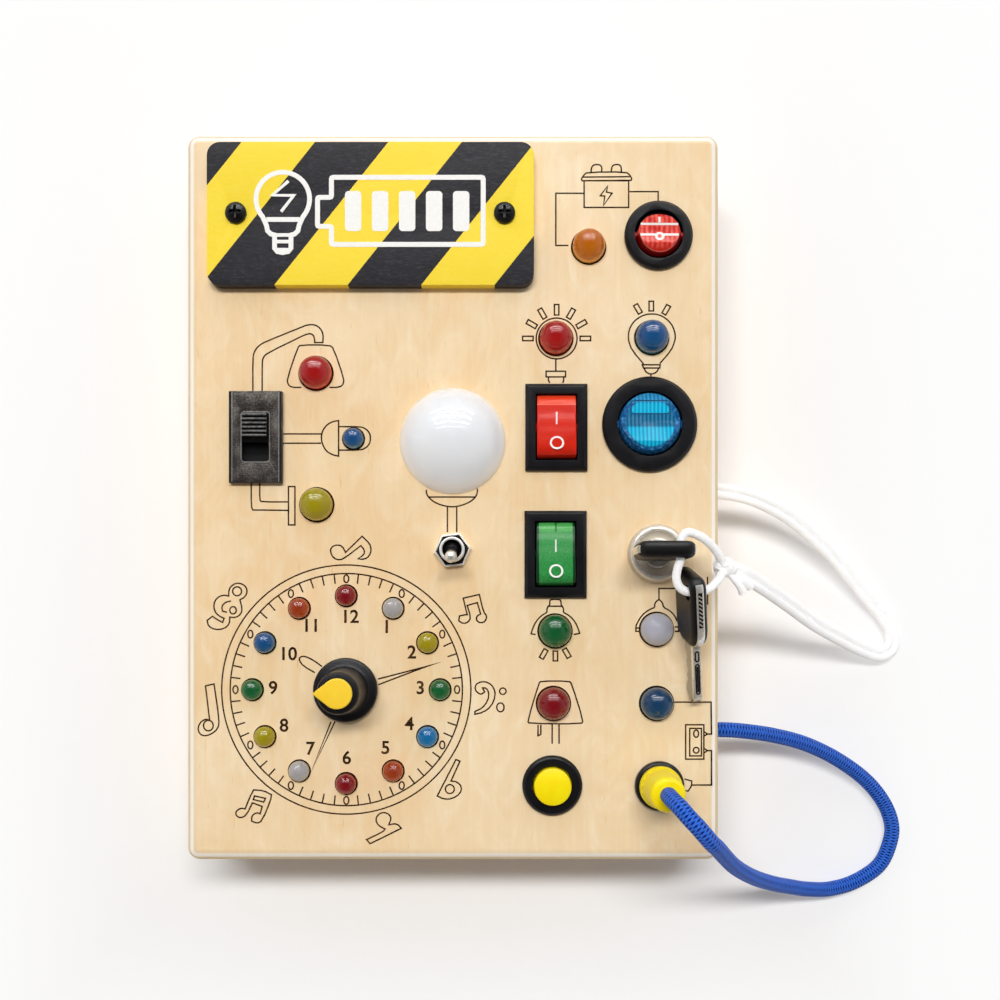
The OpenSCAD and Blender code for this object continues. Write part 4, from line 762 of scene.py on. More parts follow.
NUMBERS = {12: (-25.4, -29.7), 1: (-16.3, -32.2), 2: (-10.1, -38.5), 3: (-8, -47.3),
           4: (-10.7, -56.2), 5: (-16.6, -62.1), 6: (-26.2, -64.6), 7: (-35.2, -62.3),
           8: (-41.7, -56.6), 9: (-44.4, -47.3), 10: (-40.7, -38.9), 11: (-35, -31.9)}
for number, (x, y) in NUMBERS.items():
    text = begin(bpy.ops.object.text_add, f"dial_number_{number}", location=(0, 0, 0)).data
    text.body = str(number)
    text.size = NUMBER_H * MM
    text.align_x = text.align_y = "CENTER"
    text.offset = 0.09 * MM
    text.extrude = 0.02 * MM
    bpy.ops.object.convert(target="MESH")
    bpy.context.object.data.transform(at(x, y, FACE + 0.01))
    finished(bpy.context.object, scorch, "root", "plywood")

# ---- The sign plate ----
# A 3.5 mm hardboard plate with a printed film: slanting yellow and charcoal stripes under a white
# bulb and a white battery with charge bars. Two black pan-head screws hold it to the face.
SIGN_T = 3.5
SIGN_TOP = FACE + SIGN_T
STRIPE_PAIR = 35.9
STRIPE_START = 120.5
STRIPE_LEAN = 0.7983

finish = Finish("striped print film")
# solid inks on a finely embossed film; the charcoal shows the emboss most
x, y = finish.parts()[:2]
slant = finish.calc("MULTIPLY_ADD", y, -STRIPE_LEAN, x)
phase = finish.calc("MULTIPLY_ADD", slant, 1000 / STRIPE_PAIR, STRIPE_START / STRIPE_PAIR)
phase = finish.calc("FRACT", phase)
dark = finish.calc("GREATER_THAN", phase, 0.5)
emboss_space = finish.moved(scale=(700, 2300, 1000))
emboss = finish.noise(1, 4, emboss_space, rough=0.65)
ink = finish.ramp(emboss, (0.3, "fbdc34"), (0.7, "fde14a"))
charcoal = finish.ramp(emboss, (0.3, "201f23"), (0.55, "2b2a2f"), (0.75, "413f45"))
colour = finish.mix(dark, ink, charcoal)
bump = finish.bump(emboss, 0.3, 0.00015)
print_film = finish.skin(colour, 0.5, bump, mirror=0.18)
softened("sign_plate", "sign_sheet", "root", "sign_print", print_film, 0.35, 3)

finish = Finish("thick white screen ink")
thick = finish.noise(1500, 3)
colour = finish.ramp(thick, (0.3, "f4f3ee"), (0.7, "fbfaf6"))
bump = finish.bump(thick, 0.15, 0.0001)
white_ink = finish.skin(colour, 0.55, bump)

bulb = arc(-41.4, 72.5, 6.55, 221, -41, 40)
bulb += [(-37.4, 66.1), (-37.7, 64.7), (-38.5, 63.95), (-39.4, 63.7), (-39.4, 60.5),
         (-40.1, 59.65), (-41.4, 59.4), (-42.7, 59.65), (-43.4, 60.5), (-43.4, 63.7),
         (-44.3, 63.95), (-45.1, 64.7), (-45.4, 66.1)]
battery = [(-29.5, 77.8), (7.6, 77.8), (7.6, 61.4), (-29.5, 61.4), (-29.5, 65.8), (-32.9, 65.8),
           (-32.9, 72.9), (-29.5, 72.9)]
rounded = []
for i in range(len(battery)):
    here, before, after = around_point(battery, i)
    back, on = (before - here).normalized(), (after - here).normalized()
    rounded += [tuple(here + 0.45 * back), tuple(here + 0.13 * (back + on)),
                tuple(here + 0.45 * on)]
for name, paths, width, proud in (
        ("sign_bulb", [(True, bulb), (False, [(-45.4, 67.5), (-37.3, 67.5)])], 1.25, 0.06),
        ("sign_bulb_thread", [(False, [(-43.4, 63.7), (-39.4, 63.7)]),
                              (False, [(-43.4, 62.1), (-39.4, 62.1)]),
                              (False, [(-42.6, 60.1), (-40.2, 60.1)])], 0.95, 0.075),
        ("sign_bolt", [(False, [(-40, 76.9), (-43.9, 73.4), (-38.7, 73.35), (-41.8, 69.4)])],
         0.85, 0.075),
        ("sign_battery", [(True, rounded)], 1.3, 0.06)):
    strokes(name, paths, width, proud, SIGN_TOP, white_ink, slot="sign_print")

BAR_W, BAR_L, BAR_PITCH = 4, 9.8, 6.6
FIRST_BAR = (-24.2, 69.55)
for number in range(5):
    bar = begin(bpy.ops.mesh.primitive_plane_add, f"sign_charge_bar_{number + 1}", size=MM,
                location=(0, 0, 0))
    bar.data.transform(at(FIRST_BAR[0] + BAR_PITCH * number, FIRST_BAR[1], SIGN_TOP)
                       @ Matrix.Diagonal((BAR_W, BAR_L, 1, 1)))
    edit()
    bpy.ops.mesh.bevel(offset=0.9 * MM, segments=5, affect="VERTICES")
    bpy.ops.mesh.select_all(action="SELECT")
    bpy.ops.mesh.extrude_region_move(TRANSFORM_OT_translate={"value": (0, 0, 0.05 * MM)})
    bpy.ops.object.mode_set(mode="OBJECT")
    faced_out()
    finished(bar, white_ink, "root", "sign_print")

finish = Finish("blackened steel")
# oil-black finish, glossy with faint brown wear where a screwdriver has rubbed
wear = finish.noise(700, 4)
colour = finish.ramp(wear, (0.4, "08080a"), (0.75, "1b1916"))
black_steel = finish.skin(colour, finish.span(wear, 0, 1, 0.18, 0.38), metal=0.4)
softened("sign_screws", "sign_fixings", "root", "black_screw", black_steel, 0.18, 3)

# ---- The indicator lamps ----
# Moulded epoxy lamps, 8 mm and 5 mm across, pushed through the panel from behind: a domed lens on
# a straight barrel, a flange behind the wood and two tinned leads. Diffusing dye tints each one.
LEAD_T, LEAD_APART = 0.5, 2.54


def turned(name, profile, steps, sharp):
    """Turns a piece as on a lathe: profile is its half outline in mm, (radius, height), about the
    upright axis through the origin."""
    piece = begin(bpy.ops.mesh.primitive_plane_add, name, size=2 * MM, location=(0, 0, 0))
    bpy.ops.object.mode_set(mode="EDIT")
    bpy.ops.mesh.select_mode(type="VERT")
    bpy.ops.mesh.select_all(action="SELECT")
    bpy.ops.mesh.merge(type="CENTER")
    here = Vector((0, 0, 0))
    for number, (r, z) in enumerate(profile):
        there = Vector((r * MM, 0, z * MM))
        if number == 0:
            bpy.ops.transform.translate(value=there)
        else:
            bpy.ops.mesh.extrude_vertices_move(TRANSFORM_OT_translate={"value": there - here})
        here = there
    bpy.ops.mesh.select_all(action="SELECT")
    bpy.ops.mesh.spin(steps=steps, angle=2 * pi, center=(0, 0, 0), axis=(0, 0, 1))
    bpy.ops.mesh.select_all(action="SELECT")
    bpy.ops.mesh.remove_doubles(threshold=1e-6)
    bpy.ops.object.mode_set(mode="OBJECT")
    faced_out(sharp)
    return piece


def ringed(piece):
    """Writes how high each point stands, and how far it faces the near side, for its material."""
    for name, reach in (("up", lambda v: v.co.z / MM), ("near", lambda v: -v.normal.y)):
        layer = piece.data.attributes.new(name, "FLOAT", "POINT")
        layer.data.foreach_set("value", [reach(v) for v in piece.data.vertices])


def placed(piece, x, y, material, body, slot, *nodes):
    """Sets a modelled piece at its place on the face, with its finish and what it stands for."""
    piece.data.transform(at(x, y, FACE))
    return finished(piece, material, body, slot, *nodes)


def lamp_model(name, r, top, flange, lead_l):
    """Models one lamp with its flange under the panel and its two leads."""
    lens = turned(name, arc(0, top - r, r, 90, 0, 12) + [
        (r, -3.9), (r + 0.15, -PANEL_T), (r + 0.6, -PANEL_T), (r + 0.6, -PANEL_T - flange),
        (r, -PANEL_T - flange - 0.2), (0, -PANEL_T - flange - 0.2)], 48, 50)
    parts = [lens]
    for x in (-LEAD_APART / 2, LEAD_APART / 2):
        lead = begin(bpy.ops.mesh.primitive_cube_add, "lead", size=LEAD_T * MM, location=(0, 0, 0))
        low = -PANEL_T - flange - lead_l
        lead.data.transform(at(x, 0, low + lead_l / 2)
                            @ Matrix.Diagonal((1, 1, lead_l / LEAD_T, 1)))
        parts.append(lead)
    only(*parts[::-1])
    bpy.ops.object.join()
    model = bpy.context.object
    ringed(model)
    return model


def lamp_resin(name, deep, bright, pale, glow):
    """Mixes dyed epoxy, deep at the crown, with painted light that makes it brighter down the near
    side and pale at the very foot.
    """
    finish = Finish(name)
    up = finish.add("Attribute", attribute_name="up")[2]
    dye = finish.noise(260, 2)
    # painted light: the foot and the side facing the near side are lighter, as if lit through the
    # lens
    low = finish.span(up, 3.4, 0.3)
    near = finish.add("Attribute", attribute_name="near")[2]
    low = finish.calc("MULTIPLY_ADD", near, 0.35, low)
    mixed = finish.calc("MULTIPLY_ADD", dye, 0.3, low)
    colour = finish.ramp(mixed, (0.1, deep), (0.75, bright), (1.1, pale))
    return finish.skin(colour, 0.07, milky=0.1, milky_rgb=(1, 1, 1), milky_deep=0.0008, mirror=0.5,
                       glow_colour=linear(bright), glow=glow)


red_resin = lamp_resin("deep red lamp resin", "9c1214", "c4221b", "e64e35", 0.03)
ruby_resin = lamp_resin("dark ruby lamp resin", "780c14", "991a20", "b43d35", 0.02)
scarlet_resin = lamp_resin("orange red lamp resin", "8d310f", "b94c1b", "da7639", 0.05)
blue_resin = lamp_resin("blue lamp resin", "13487d", "206194", "5894b0", 0.02)
navy_resin = lamp_resin("dark blue lamp resin", "143a5d", "205375", "51809b", 0.02)
sky_resin = lamp_resin("bright blue lamp resin", "0f5e92", "217db1", "65afcc", 0.12)
green_resin = lamp_resin("bottle green lamp resin", "0f562a", "1d763d", "54a15f", 0.02)
olive_resin = lamp_resin("yellow green lamp resin", "9a8c0e", "b4a31d", "dbc554", 0.03)
amber_resin = lamp_resin("amber lamp resin", "b35c09", "d67e16", "f0ab44", 0.06)
clear_resin = lamp_resin("clear violet grey lamp resin", "aeaeba", "c8c9d2", "e8e8ee", 0.02)
milky_resin = lamp_resin("clear grey lamp resin", "a39f9e", "bab7b3", "e4e2d5", 0.02)

big_lamp = lamp_model("big_lamp", 4, 5.5, 1.5, 7)
small_lamp = lamp_model("small_lamp", 2.5, 3.6, 1, 4)
BIG_LAMPS = [
    ("red_lamp_top", 25.5, 39.2, red_resin, "lamp_red", "red_leds"),
    ("red_lamp_low", 24.9, -51, ruby_resin, "lamp_red", "red_leds"),
    ("red_lamp_left", -33.8, 30.6, red_resin, "lamp_red", "red_leds"),
    ("blue_lamp_top", 49.2, 39.4, blue_resin, "lamp_blue", "blue_leds"),
    ("blue_lamp_low", 50.4, -51, navy_resin, "lamp_blue", "blue_leds"),
    ("green_lamp_right", 25.3, -33.1, green_resin, "lamp_green", "green_leds"),
    ("green_lamp_left", -33.6, -1.9, olive_resin, "lamp_green", "green_leds"),
    ("amber_lamp", 33.6, 61.8, amber_resin, "lamp_amber", "amber_and_clear_leds"),
    ("clear_lamp", 50.4, -32.7, clear_resin, "lamp_amber", "amber_and_clear_leds")]
SMALL_LAMP = (-24.5, 14.4)
DIAL_LAMP_R = 23.2
BIG_RIM_R, SMALL_RIM_R = 4.2, 2.68
DIAL_RESINS = (milky_resin, olive_resin, green_resin, sky_resin, scarlet_resin, ruby_resin,
               milky_resin, olive_resin, green_resin, blue_resin, scarlet_resin, ruby_resin)


def at_hour(hour):
    """Middle of the dial's lamp at an hour."""
    return (DIAL[0] + DIAL_LAMP_R * sin(radians(30 * hour)),
            DIAL[1] + DIAL_LAMP_R * cos(radians(30 * hour)))


for name, x, y, resin, slot, node in BIG_LAMPS:
    placed(in_scene(name, big_lamp.data.copy()), x, y, resin, "root", slot, node)
placed(in_scene("blue_lamp_small", small_lamp.data.copy()), *SMALL_LAMP, blue_resin, "root",
       "lamp_blue", "blue_leds")
for hour, resin in enumerate(DIAL_RESINS, 1):
    placed(in_scene(f"dial_lamp_{hour}", small_lamp.data.copy()), *at_hour(hour), resin, "root",
           "lamp_mixed", "clock_leds")
bpy.data.objects.remove(big_lamp)
bpy.data.objects.remove(small_lamp)

rims = [oval(x, y, BIG_RIM_R, BIG_RIM_R, 40) for _, x, y, *_ in BIG_LAMPS]
rims += [oval(x, y, SMALL_RIM_R, SMALL_RIM_R, 32)
         for x, y in [*map(at_hour, range(12)), SMALL_LAMP]]
finish = Finish("charred hole rim and painted gap shade")
# nearly black: partly scorch where the beam cut through the veneer, partly painted shade of the
# gap round each lamp
colour = finish.ramp(finish.noise(600, 3), (0.3, "150d07"), (0.7, "34210f"))
scorch_and_gap_shade = finish.skin(colour, 0.9, mirror=0.1)
strokes("scorched_and_gap_shaded_rims", rims, 0.42, 0.02, FACE, scorch_and_gap_shade)

# ---- The dome lamp ----
# An opal acrylic dome over a small lamp board, pressed with its neck into a white holder behind
# the panel. The skin is glossy and the milky wall scatters light, so its foot looks softer.
DOME = (0, 13.9)
DOME_R, DOME_INNER_R = 13.3, 12.1
DOME_MIDDLE = -2.3
finish = Finish("opal acrylic")
milk = finish.noise(90, 2)
colour = finish.ramp(milk, (0.3, "f0f0f4"), (0.7, "f6f6f9"))
gloss = finish.span(milk, 0, 1, 0.34, 0.46)
# a faint cool glow is painted light that brightens the whole dome
opal = finish.skin(colour, gloss, milky=0.8, milky_rgb=(1, 0.98, 0.96), milky_deep=0.006, coat=0.9,
                   coat_rough=0.03, mirror=0.2, ior=1.49, glow_colour=(0.9, 0.94, 1, 1), glow=0.14)

dome = turned("dome_shell", arc(0, DOME_MIDDLE, DOME_R, 90, 11, 30) + [
    (13.12, 0.1), (13.0, 0), (11.7, 0), (11.7, -6), (10.5, -6), (10.5, 3.7)]
    + arc(0, DOME_MIDDLE, DOME_INNER_R, 30, 90, 16), 96, 30)
placed(dome, *DOME, opal, "root", "opal", "lamp_dome")


def moulded(name, dark, light, gloss, peel=0.12):
    """Mixes a moulded plastic: the colour clouds a little where it flowed into the mould, and the
    skin has the mould's fine texture."""
    finish = Finish(name)
    flow = finish.noise(150, 3, bent=0.6)
    skin = finish.noise(3600, 2)
    colour = finish.ramp(flow, (0.3, dark), (0.7, light))
    rough = finish.span(skin, 0, 1, gloss - 0.04, gloss + 0.1)
    bump = finish.bump(skin, peel, 0.00005)
    return finish.skin(colour, rough, bump, mirror=0.25)


def dress(material, *nodes):
    """Gives solids whose shape is right their real finish."""
    for node in nodes:
        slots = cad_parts[node].data.materials
        slots.clear()
        slots.append(material)


softened("lamp_holder", "dome_holder", "root", "white_plastic",
         moulded("white moulded nylon", "dcdcda", "eeeeec", 0.45), 0.2)

finish = Finish("green solder resist")
# glossy lacquer over copper tracks, which show as a slightly lighter net
tracks = finish.add("TexVoronoi", {"Vector": finish.place, "Scale": 420},
                    feature="DISTANCE_TO_EDGE")[0]
colour = finish.ramp(tracks, (0.02, "2f7a4a"), (0.07, "145231"))
dress(finish.skin(colour, 0.25, finish.bump(tracks, 0.3, 0.0001)), "lamp_board", "clock_board")

# ---- The toggle switch ----
# A miniature toggle: a threaded nickel bushing comes through the panel, a hexagon dress nut
# with a black face inside its rim holds it, and a ball in the bushing carries the tapered lever.
TOGGLE = (0, -13.2)
BALL_H = 3.1
NUT_R, NUT_H, NUT_TURN = 4.55, 2, 36
BUSHING_R = 2.35


def plated(name, dark, light, gloss, marks, brush=0, metal=1):
    """Mixes plate with wipe marks; brush adds straight sanding lines along Y, and less metal gives
    the milky bloom of satin plate."""
    finish = Finish(name)
    stretch = (1, 0.06, 1) if brush else (1, 1, 1)
    wiped = finish.moved(scale=[marks * s for s in stretch])
    haze = finish.noise(1, 4, wiped, rough=0.6)
    colour = finish.ramp(haze, (0.3, dark), (0.7, light))
    rough = finish.span(haze, 0, 1, gloss - 0.05, gloss + 0.12)
    bump = finish.bump(haze, 0.03 + 0.4 * brush, 0.00003)
    return finish.skin(colour, rough, bump, metal=metal)


nickel = plated("bright nickel plate", "d8d5cd", "f2efe8", 0.26, 900, 0, 0.72)
chrome = plated("bright chrome edge", "f0efec", "fdfcfa", 0.28, 900, 0, 0.4)
brushed_steel = plated("brushed steel", "8f8d8a", "b9b7b3", 0.34, 2600, 1)
black_case_and_bore_shade = moulded("black phenolic switch case and painted bore shade", "0e0e10", "19191b", 0.4)
toggle_lever = softened("toggle_lever", "toggle_arm", "toggle", "nickel", nickel, 0)
# below its bright ball the lever is painted black, as painted shade inside the bushing's bore
toggle_lever.data.materials.append(black_case_and_bore_shade)
tip = max(vertex.co.z for vertex in toggle_lever.data.vertices)
for face in toggle_lever.data.polygons:
    face.material_index = int(face.center.z < tip - BALL_H * MM)
toggle_case = softened("toggle_body", "toggle_case", "root", "switch_case", nickel, 0.12)
toggle_case.data.materials.append(black_case_and_bore_shade)
# the bore inside the bushing is painted black as shade; below the panel it is the real black case
for face in toggle_case.data.polygons:
    across = hypot(face.center.x - TOGGLE[0] * MM, face.center.y - TOGGLE[1] * MM)
    if face.center.z < (FACE - PANEL_T + 0.02) * MM or across < BUSHING_R * MM:
        face.material_index = 1

dress_nut = begin(bpy.ops.mesh.primitive_cylinder_add, "toggle_dress_nut", vertices=6,
                  radius=NUT_R * MM, depth=NUT_H * MM,
                  location=(0, 0, NUT_H / 2 * MM))
bpy.ops.object.transform_apply(location=True, rotation=True, scale=True)
bpy.ops.object.mode_set(mode="EDIT")
bpy.ops.mesh.select_all(action="DESELECT")
bpy.ops.object.mode_set(mode="OBJECT")
for face in dress_nut.data.polygons:
    face.select = face.normal.z > 0.9
bpy.ops.object.mode_set(mode="EDIT")
bpy.ops.mesh.select_mode(type="FACE")
# a raised rim, its flat crown, and the step down to the black inner face
for thick, high in ((0.16, 0.14), (0.16, 0), (0.06, -0.35)):
    bpy.ops.mesh.inset(thickness=thick * MM, depth=high * MM)
bpy.ops.object.mode_set(mode="OBJECT")
rolled(dress_nut, 0.1, 3, 25)
dress_nut.data.transform(turn(NUT_TURN, "Z"))
placed(dress_nut, *TOGGLE, chrome, "root", "nickel", "toggle_nut")
dress_nut.data.materials.append(moulded("black inner nut face", "070708", "111112", 0.5))
for face in dress_nut.data.polygons:
    if face.normal.z > 0.9 and (FACE + 1) * MM < face.center.z < (FACE + 1.95) * MM:
        face.material_index = 1
collar = turned("toggle_collar", [(2.36, 4.6)] + arc(2.72, 5.02, 0.36, 160, 0, 8) + [
    (3.08, 4.6), (3.08, 3.2), (2.36, 3.2), (2.36, 4.6)], 64, 50)
placed(collar, *TOGGLE, chrome, "root", "nickel")

# ---- The slide switch ----
# A stamped steel cover, smoked dark, over a black body. The ribbed handle shows in the window;
# along each folded side lies a black line of painted shade, and a bright burr along each edge.
SLIDE = (-48.4, 14.6)
SLIDE_TOP = FACE + 2
finish = Finish("smoked steel sheet")
# dark chemical finish with a grainy speckle, paler on the raised grains
speck = finish.noise(4200, 3, rough=0.7)
patch = finish.noise(260, 3)
both = finish.calc("MULTIPLY_ADD", patch, 0.55, speck)
colour = finish.ramp(both, (0.55, "1c1917"), (0.75, "383330"), (0.95, "756e68"))
rough = finish.span(speck, 0, 1, 0.35, 0.6)
bump = finish.bump(speck, 0.35, 0.00006)
smoked = finish.skin(colour, rough, bump, metal=0.65)
softened("slide_cover", "slide_sheet", "root", "smoked_metal", smoked, 0.22)
burr = plated("bare steel burr", "9d9a96", "c8c5c0", 0.3, 2000)
pitch_black = moulded("deep black nylon", "060607", "101011", 0.5)


def up_slide(x, half):
    """A line along the slide switch, x mm beside its middle."""
    return False, [(SLIDE[0] + x, SLIDE[1] - half), (SLIDE[0] + x, SLIDE[1] + half)]


def round_box(x, y, across, up, r, cuts):
    """Outline of a box about (x, y), its corners' centres lying across and up from there."""
    line = []
    for sx, sy, start in ((1, 1, 0), (-1, 1, 90), (-1, -1, 180), (1, -1, 270)):
        line += arc(x + sx * across, y + sy * up, r, start, start + 90, cuts)
    return True, line


# the black lines along the folds are painted shade
strokes("slide_fold_shade_lines", [up_slide(-6.2, 11.1), up_slide(6.2, 11.1)], 0.5, 0.04, SLIDE_TOP,
        pitch_black, slot="smoked_metal")
strokes("slide_burrs", [round_box(*SLIDE, 2.65, 5.35, 0.85, 5), up_slide(-5.75, 11),
                        up_slide(5.75, 11)], 0.28, 0.05, SLIDE_TOP, burr, slot="smoked_metal")
softened("slide_body", "slide_case", "root", "black_plastic", pitch_black, 0.1)

finish = Finish("ribbed nylon with grey crowns")
# the crowns of the ribs are grey in patches and the grooves black
crown = finish.span(finish.parts()[2], (FACE + 3.35) * MM, (FACE + 3.9) * MM)
grey_crowns = finish.calc("MULTIPLY", crown, finish.noise(1500, 3))
colour = finish.ramp(grey_crowns, (0.05, "050506"), (0.3, "2b2b2b"), (0.6, "72706f"))
softened("slide_knob", "slide_handle", "slider", "black_plastic", finish.skin(colour, 0.42), 0.06)

# ---- The rocker switches ----
# Four snap-in rocker switches: a black housing with a bevelled bezel, and a rocker on two pins.
# The lens plastics are tinted right through, and the I and O are filled with white.
RED = (25.6, 17.1)
GREEN = (25.4, -14.2)
POWER = (50.8, 64.5)
BLUE = (48.6, 17.9)
REST_TILT = 10
ROCKER_R = 2.6
LOW_HALF = 20
bezel_black = moulded("black moulded bezel", "0d0d10", "17171b", 0.3, 0.12)
for colour in ("red", "green", "power", "blue"):
    softened(colour + "_rocker_housing", colour + "_bezel", "root", "black_plastic", bezel_black,
             0.3, 3)

finish = Finish("red polycarbonate")
# smooth red, with a painted highlight: an orange band at the far end and a pale line under that
# band
y = finish.parts()[1]
flow = finish.noise(150, 3, bent=0.6)
# painted highlight on the far end and along the line below it
far = finish.span(y, (RED[1] + 5.2) * MM, (RED[1] + 5.5) * MM)
painted_highlight_line = finish.span(y, (RED[1] + 5.55) * MM, (RED[1] + 5.35) * MM)
painted_highlight_line = finish.calc("MULTIPLY", painted_highlight_line, far)
colour = finish.ramp(flow, (0.3, "cc2414"), (0.7, "dc301e"))
colour = finish.mix(far, colour, "ea4022")
colour = finish.mix(painted_highlight_line, colour, "ff9a7c")
red_lens = finish.skin(colour, 0.15, mirror=0.16)
softened("red_rocker", "red_paddle", "red_rocker", "red_plastic", red_lens, 0.35, 3, 62)


def marked(name, paths, width, x, y, slope, ink, body, slot):
    """Prints a mark, drawn about the origin, on the half of a rocker that climbs by slope
    degrees away from the crease at (x, y)."""
    mark = strokes(name, paths, width, 0.03, 0, ink, body, slot)
    rise = ROCKER_R * cos(radians(REST_TILT))
    crease = ROCKER_R * sin(radians(REST_TILT))
    mark.data.transform(at(x, y + crease, FACE + rise) @ turn(-slope, "X"))


white_fill = moulded("white mark filling", "e6e4df", "f6f4f0", 0.5)
for name, spot in (("red", RED), ("green", GREEN)):
    marked(name + "_mark_I", [(False, [(0, 0.05), (0, 3.1)])], 0.42, *spot, 0, white_fill,
           name + "_rocker", name + "_plastic")
    marked(name + "_mark_O", [oval(0, -5, 1.5, 1.55)], 0.5, *spot, LOW_HALF, white_fill,
           name + "_rocker", name + "_plastic")

finish = Finish("tinted green polycarbonate")
# clear green over a flecked inner mirror, with fine sparkle; paler towards the far end as painted
# light, and darker at the sides as painted shade
x, y = finish.parts()[:2]
far = finish.span(y, (GREEN[1] + 5.3) * MM, (GREEN[1] + 5.6) * MM)
flecks = finish.noise(3400, 3, rough=0.7)
body_green = finish.ramp(flecks, (0.3, "1a7834"), (0.55, "359549"), (0.75, "60b56a"))
band = finish.ramp(flecks, (0.3, "3f9c48"), (0.7, "5eb860"))
off_middle = finish.calc("ABSOLUTE", finish.calc("SUBTRACT", x, GREEN[0] * MM))
# painted shade darkens the rocker's sides
side = finish.span(off_middle, 4.05 * MM, 4.2 * MM)
web = finish.span(off_middle, 0.16 * MM, 0.28 * MM, 1, 0)
web = finish.calc("MULTIPLY", web, far)
colour = finish.mix(far, body_green, band)
colour = finish.mix(side, colour, "0f3a1e")
colour = finish.mix(web, colour, "14602c")
green_lens = finish.skin(colour, 0.17, mirror=0.25)
softened("green_rocker", "green_paddle", "green_rocker", "green_plastic", green_lens, 0.3, 3, 62)

finish = Finish("tinted ruby polycarbonate")
# flowing red over moulded ribs, deepening to dark red beyond the raised middle
out = finish.moved(shift=(-POWER[0] * MM, -POWER[1] * MM, 0))
dx, dy = finish.parts(out)[:2]
flow = finish.noise(500, 3, bent=1)
mixed = finish.calc("MULTIPLY_ADD", finish.wave(out, 260, 1.2, "X", 1), 0.3, flow)
lit = finish.ramp(mixed, (0.35, "b52020"), (0.6, "d8392f"), (0.85, "ee6a5c"))
low = finish.span(dy, -2.6 * MM, -4.2 * MM)
colour = finish.mix(low, lit, "bc2a20")
# the clear skirt round the printed part is dark red, with a painted highlight along its edge and
# the ring's painted shadow, black, at the far side
reach = finish.length(dx, dy)
near = finish.span(dy, 0.4 * MM, -0.6 * MM)
skirt = finish.calc("MULTIPLY", finish.span(reach, 4.6 * MM, 4.75 * MM), near)
line = finish.calc("MULTIPLY", finish.span(reach, 4.8 * MM, 4.7 * MM), skirt)
colour = finish.mix(skirt, colour, "740608")
colour = finish.mix(line, colour, "ee8878")
far = finish.span(finish.length(dx, finish.calc("ADD", dy, 0.4 * MM)), 5.2 * MM, 5.35 * MM)
far = finish.calc("MULTIPLY", far, finish.span(dy, 0, 0.8 * MM))
colour = finish.mix(far, colour, "14070a")
ruby_lens = finish.skin(colour, 0.14, mirror=0.12)
softened("power_rocker", "power_paddle", "power_rocker", "ruby_plastic", ruby_lens, 0.25, 3)
for name, paths, width, slope in (
        ("power_marks_level", [(False, [(0, 2.1), (0, 3.5)])], 0.6, 0),
        ("power_band_level", [(False, [(-4.6, 1.78), (4.6, 1.72)])], 0.6, 0),
        ("power_marks_slope", [(False, [(-4.7, -1), (-0.8, -1)]), (False, [(0.8, -1), (4.7, -1)]),
                               oval(0, -1.45, 0.85, 0.87)], 0.7, LOW_HALF)):
    marked(name, paths, width, *POWER, slope, white_fill, "power_rocker", "ruby_plastic")

finish = Finish("tinted blue polycarbonate")
# a fluted lens, grey blue across the middle and dark towards the rim, with painted light: bright
# cyan on an upper panel and the lower half, a paler far end, and painted sparkle on the rim
out = finish.moved(shift=(-BLUE[0] * MM, -BLUE[1] * MM, 0))
dx, dy = finish.parts(out)[:2]
flutes = finish.wave(out, 330, 0.5, "X")
ring = finish.length(dx, dy)
cyan = finish.ramp(flutes, (0.2, "0a98c6"), (0.8, "22c2e8"))
deep = finish.ramp(flutes, (0.2, "10577f"), (0.8, "2d7ba4"))
edge_cyan = finish.ramp(flutes, (0.2, "1f78ac"), (0.8, "3f9fcc"))
far = finish.span(dy, 4.7 * MM, 5 * MM)
deep = finish.mix(far, deep, edge_cyan)
rim_blue_and_painted_sparkle = finish.ramp(finish.noise(1300, 2), (0.35, "104678"), (0.55, "1e649e"), (0.75, "5098c8"))
lower = finish.span(dy, -0.7 * MM, -1.3 * MM)
upper = finish.span(dy, 2.3 * MM, 2.5 * MM)
upper_end = finish.span(dy, 5.6 * MM, 5.4 * MM)
narrow = finish.span(finish.calc("ABSOLUTE", dx), 4.9 * MM, 4.7 * MM)
painted_lit_panel = finish.calc("MULTIPLY", finish.calc("MULTIPLY", upper, upper_end), narrow)
inside = finish.span(ring, 6.1 * MM, 5.7 * MM)
lit = finish.calc("MULTIPLY", finish.calc("MAXIMUM", painted_lit_panel, lower), inside)
colour = finish.mix(lit, deep, cyan)
colour = finish.mix(finish.span(ring, 5.8 * MM, 6.4 * MM), colour, rim_blue_and_painted_sparkle)
colour = finish.mix(finish.calc("MULTIPLY", far, 0.75), colour, edge_cyan)
blue_lens = finish.skin(colour, 0.14, finish.bump(flutes, 0.2, 0.00012), mirror=0.1)
softened("blue_rocker", "blue_paddle", "blue_rocker", "blue_plastic", blue_lens, 0.3, 3)
marked("blue_window_frame", [round_box(0, 3.45, 4.0, 0.85, 0.75, 4)], 0.34, *BLUE, 0,
       moulded("dark blue moulding line", "0c3c5e", "14507a", 0.3), "blue_rocker", "blue_plastic")

# the terminals behind the panel, and the nuts and the spring of the round switches
dress(plated("stamped brass", "a8863f", "cfae63", 0.3, 1400), "switch_terminals",
      "battery_contacts")
dress(plated("tinned steel", "9b9894", "c3c1bd", 0.28, 1600), "panel_nuts", "button_spring")

# ---- The push button ----
# A round momentary button: a black flange with a rolled rim holds a yellow cap that a spring
# pushes up. The cap is flat with a softened rim.
softened("button_body", "button_ring", "root", "black_plastic", bezel_black, 0.55, 4)
yellow_plastic = moulded("yellow moulded plastic", "fee005", "ffee0c", 0.36, 0.08)
softened("button_cap", "button_top", "button", "yellow_plastic", yellow_plastic, 0.4, 3)

# ---- The key switch and its two keys ----
# A nickel cam lock with a turned recess round its cylinder. Both keys have nickel blades in black
# moulded bows; one stands in the lock and the other hangs beside it on the lanyard's loop.
LOCK = (50.5, -14)
finish = Finish("turned nickel lock head")
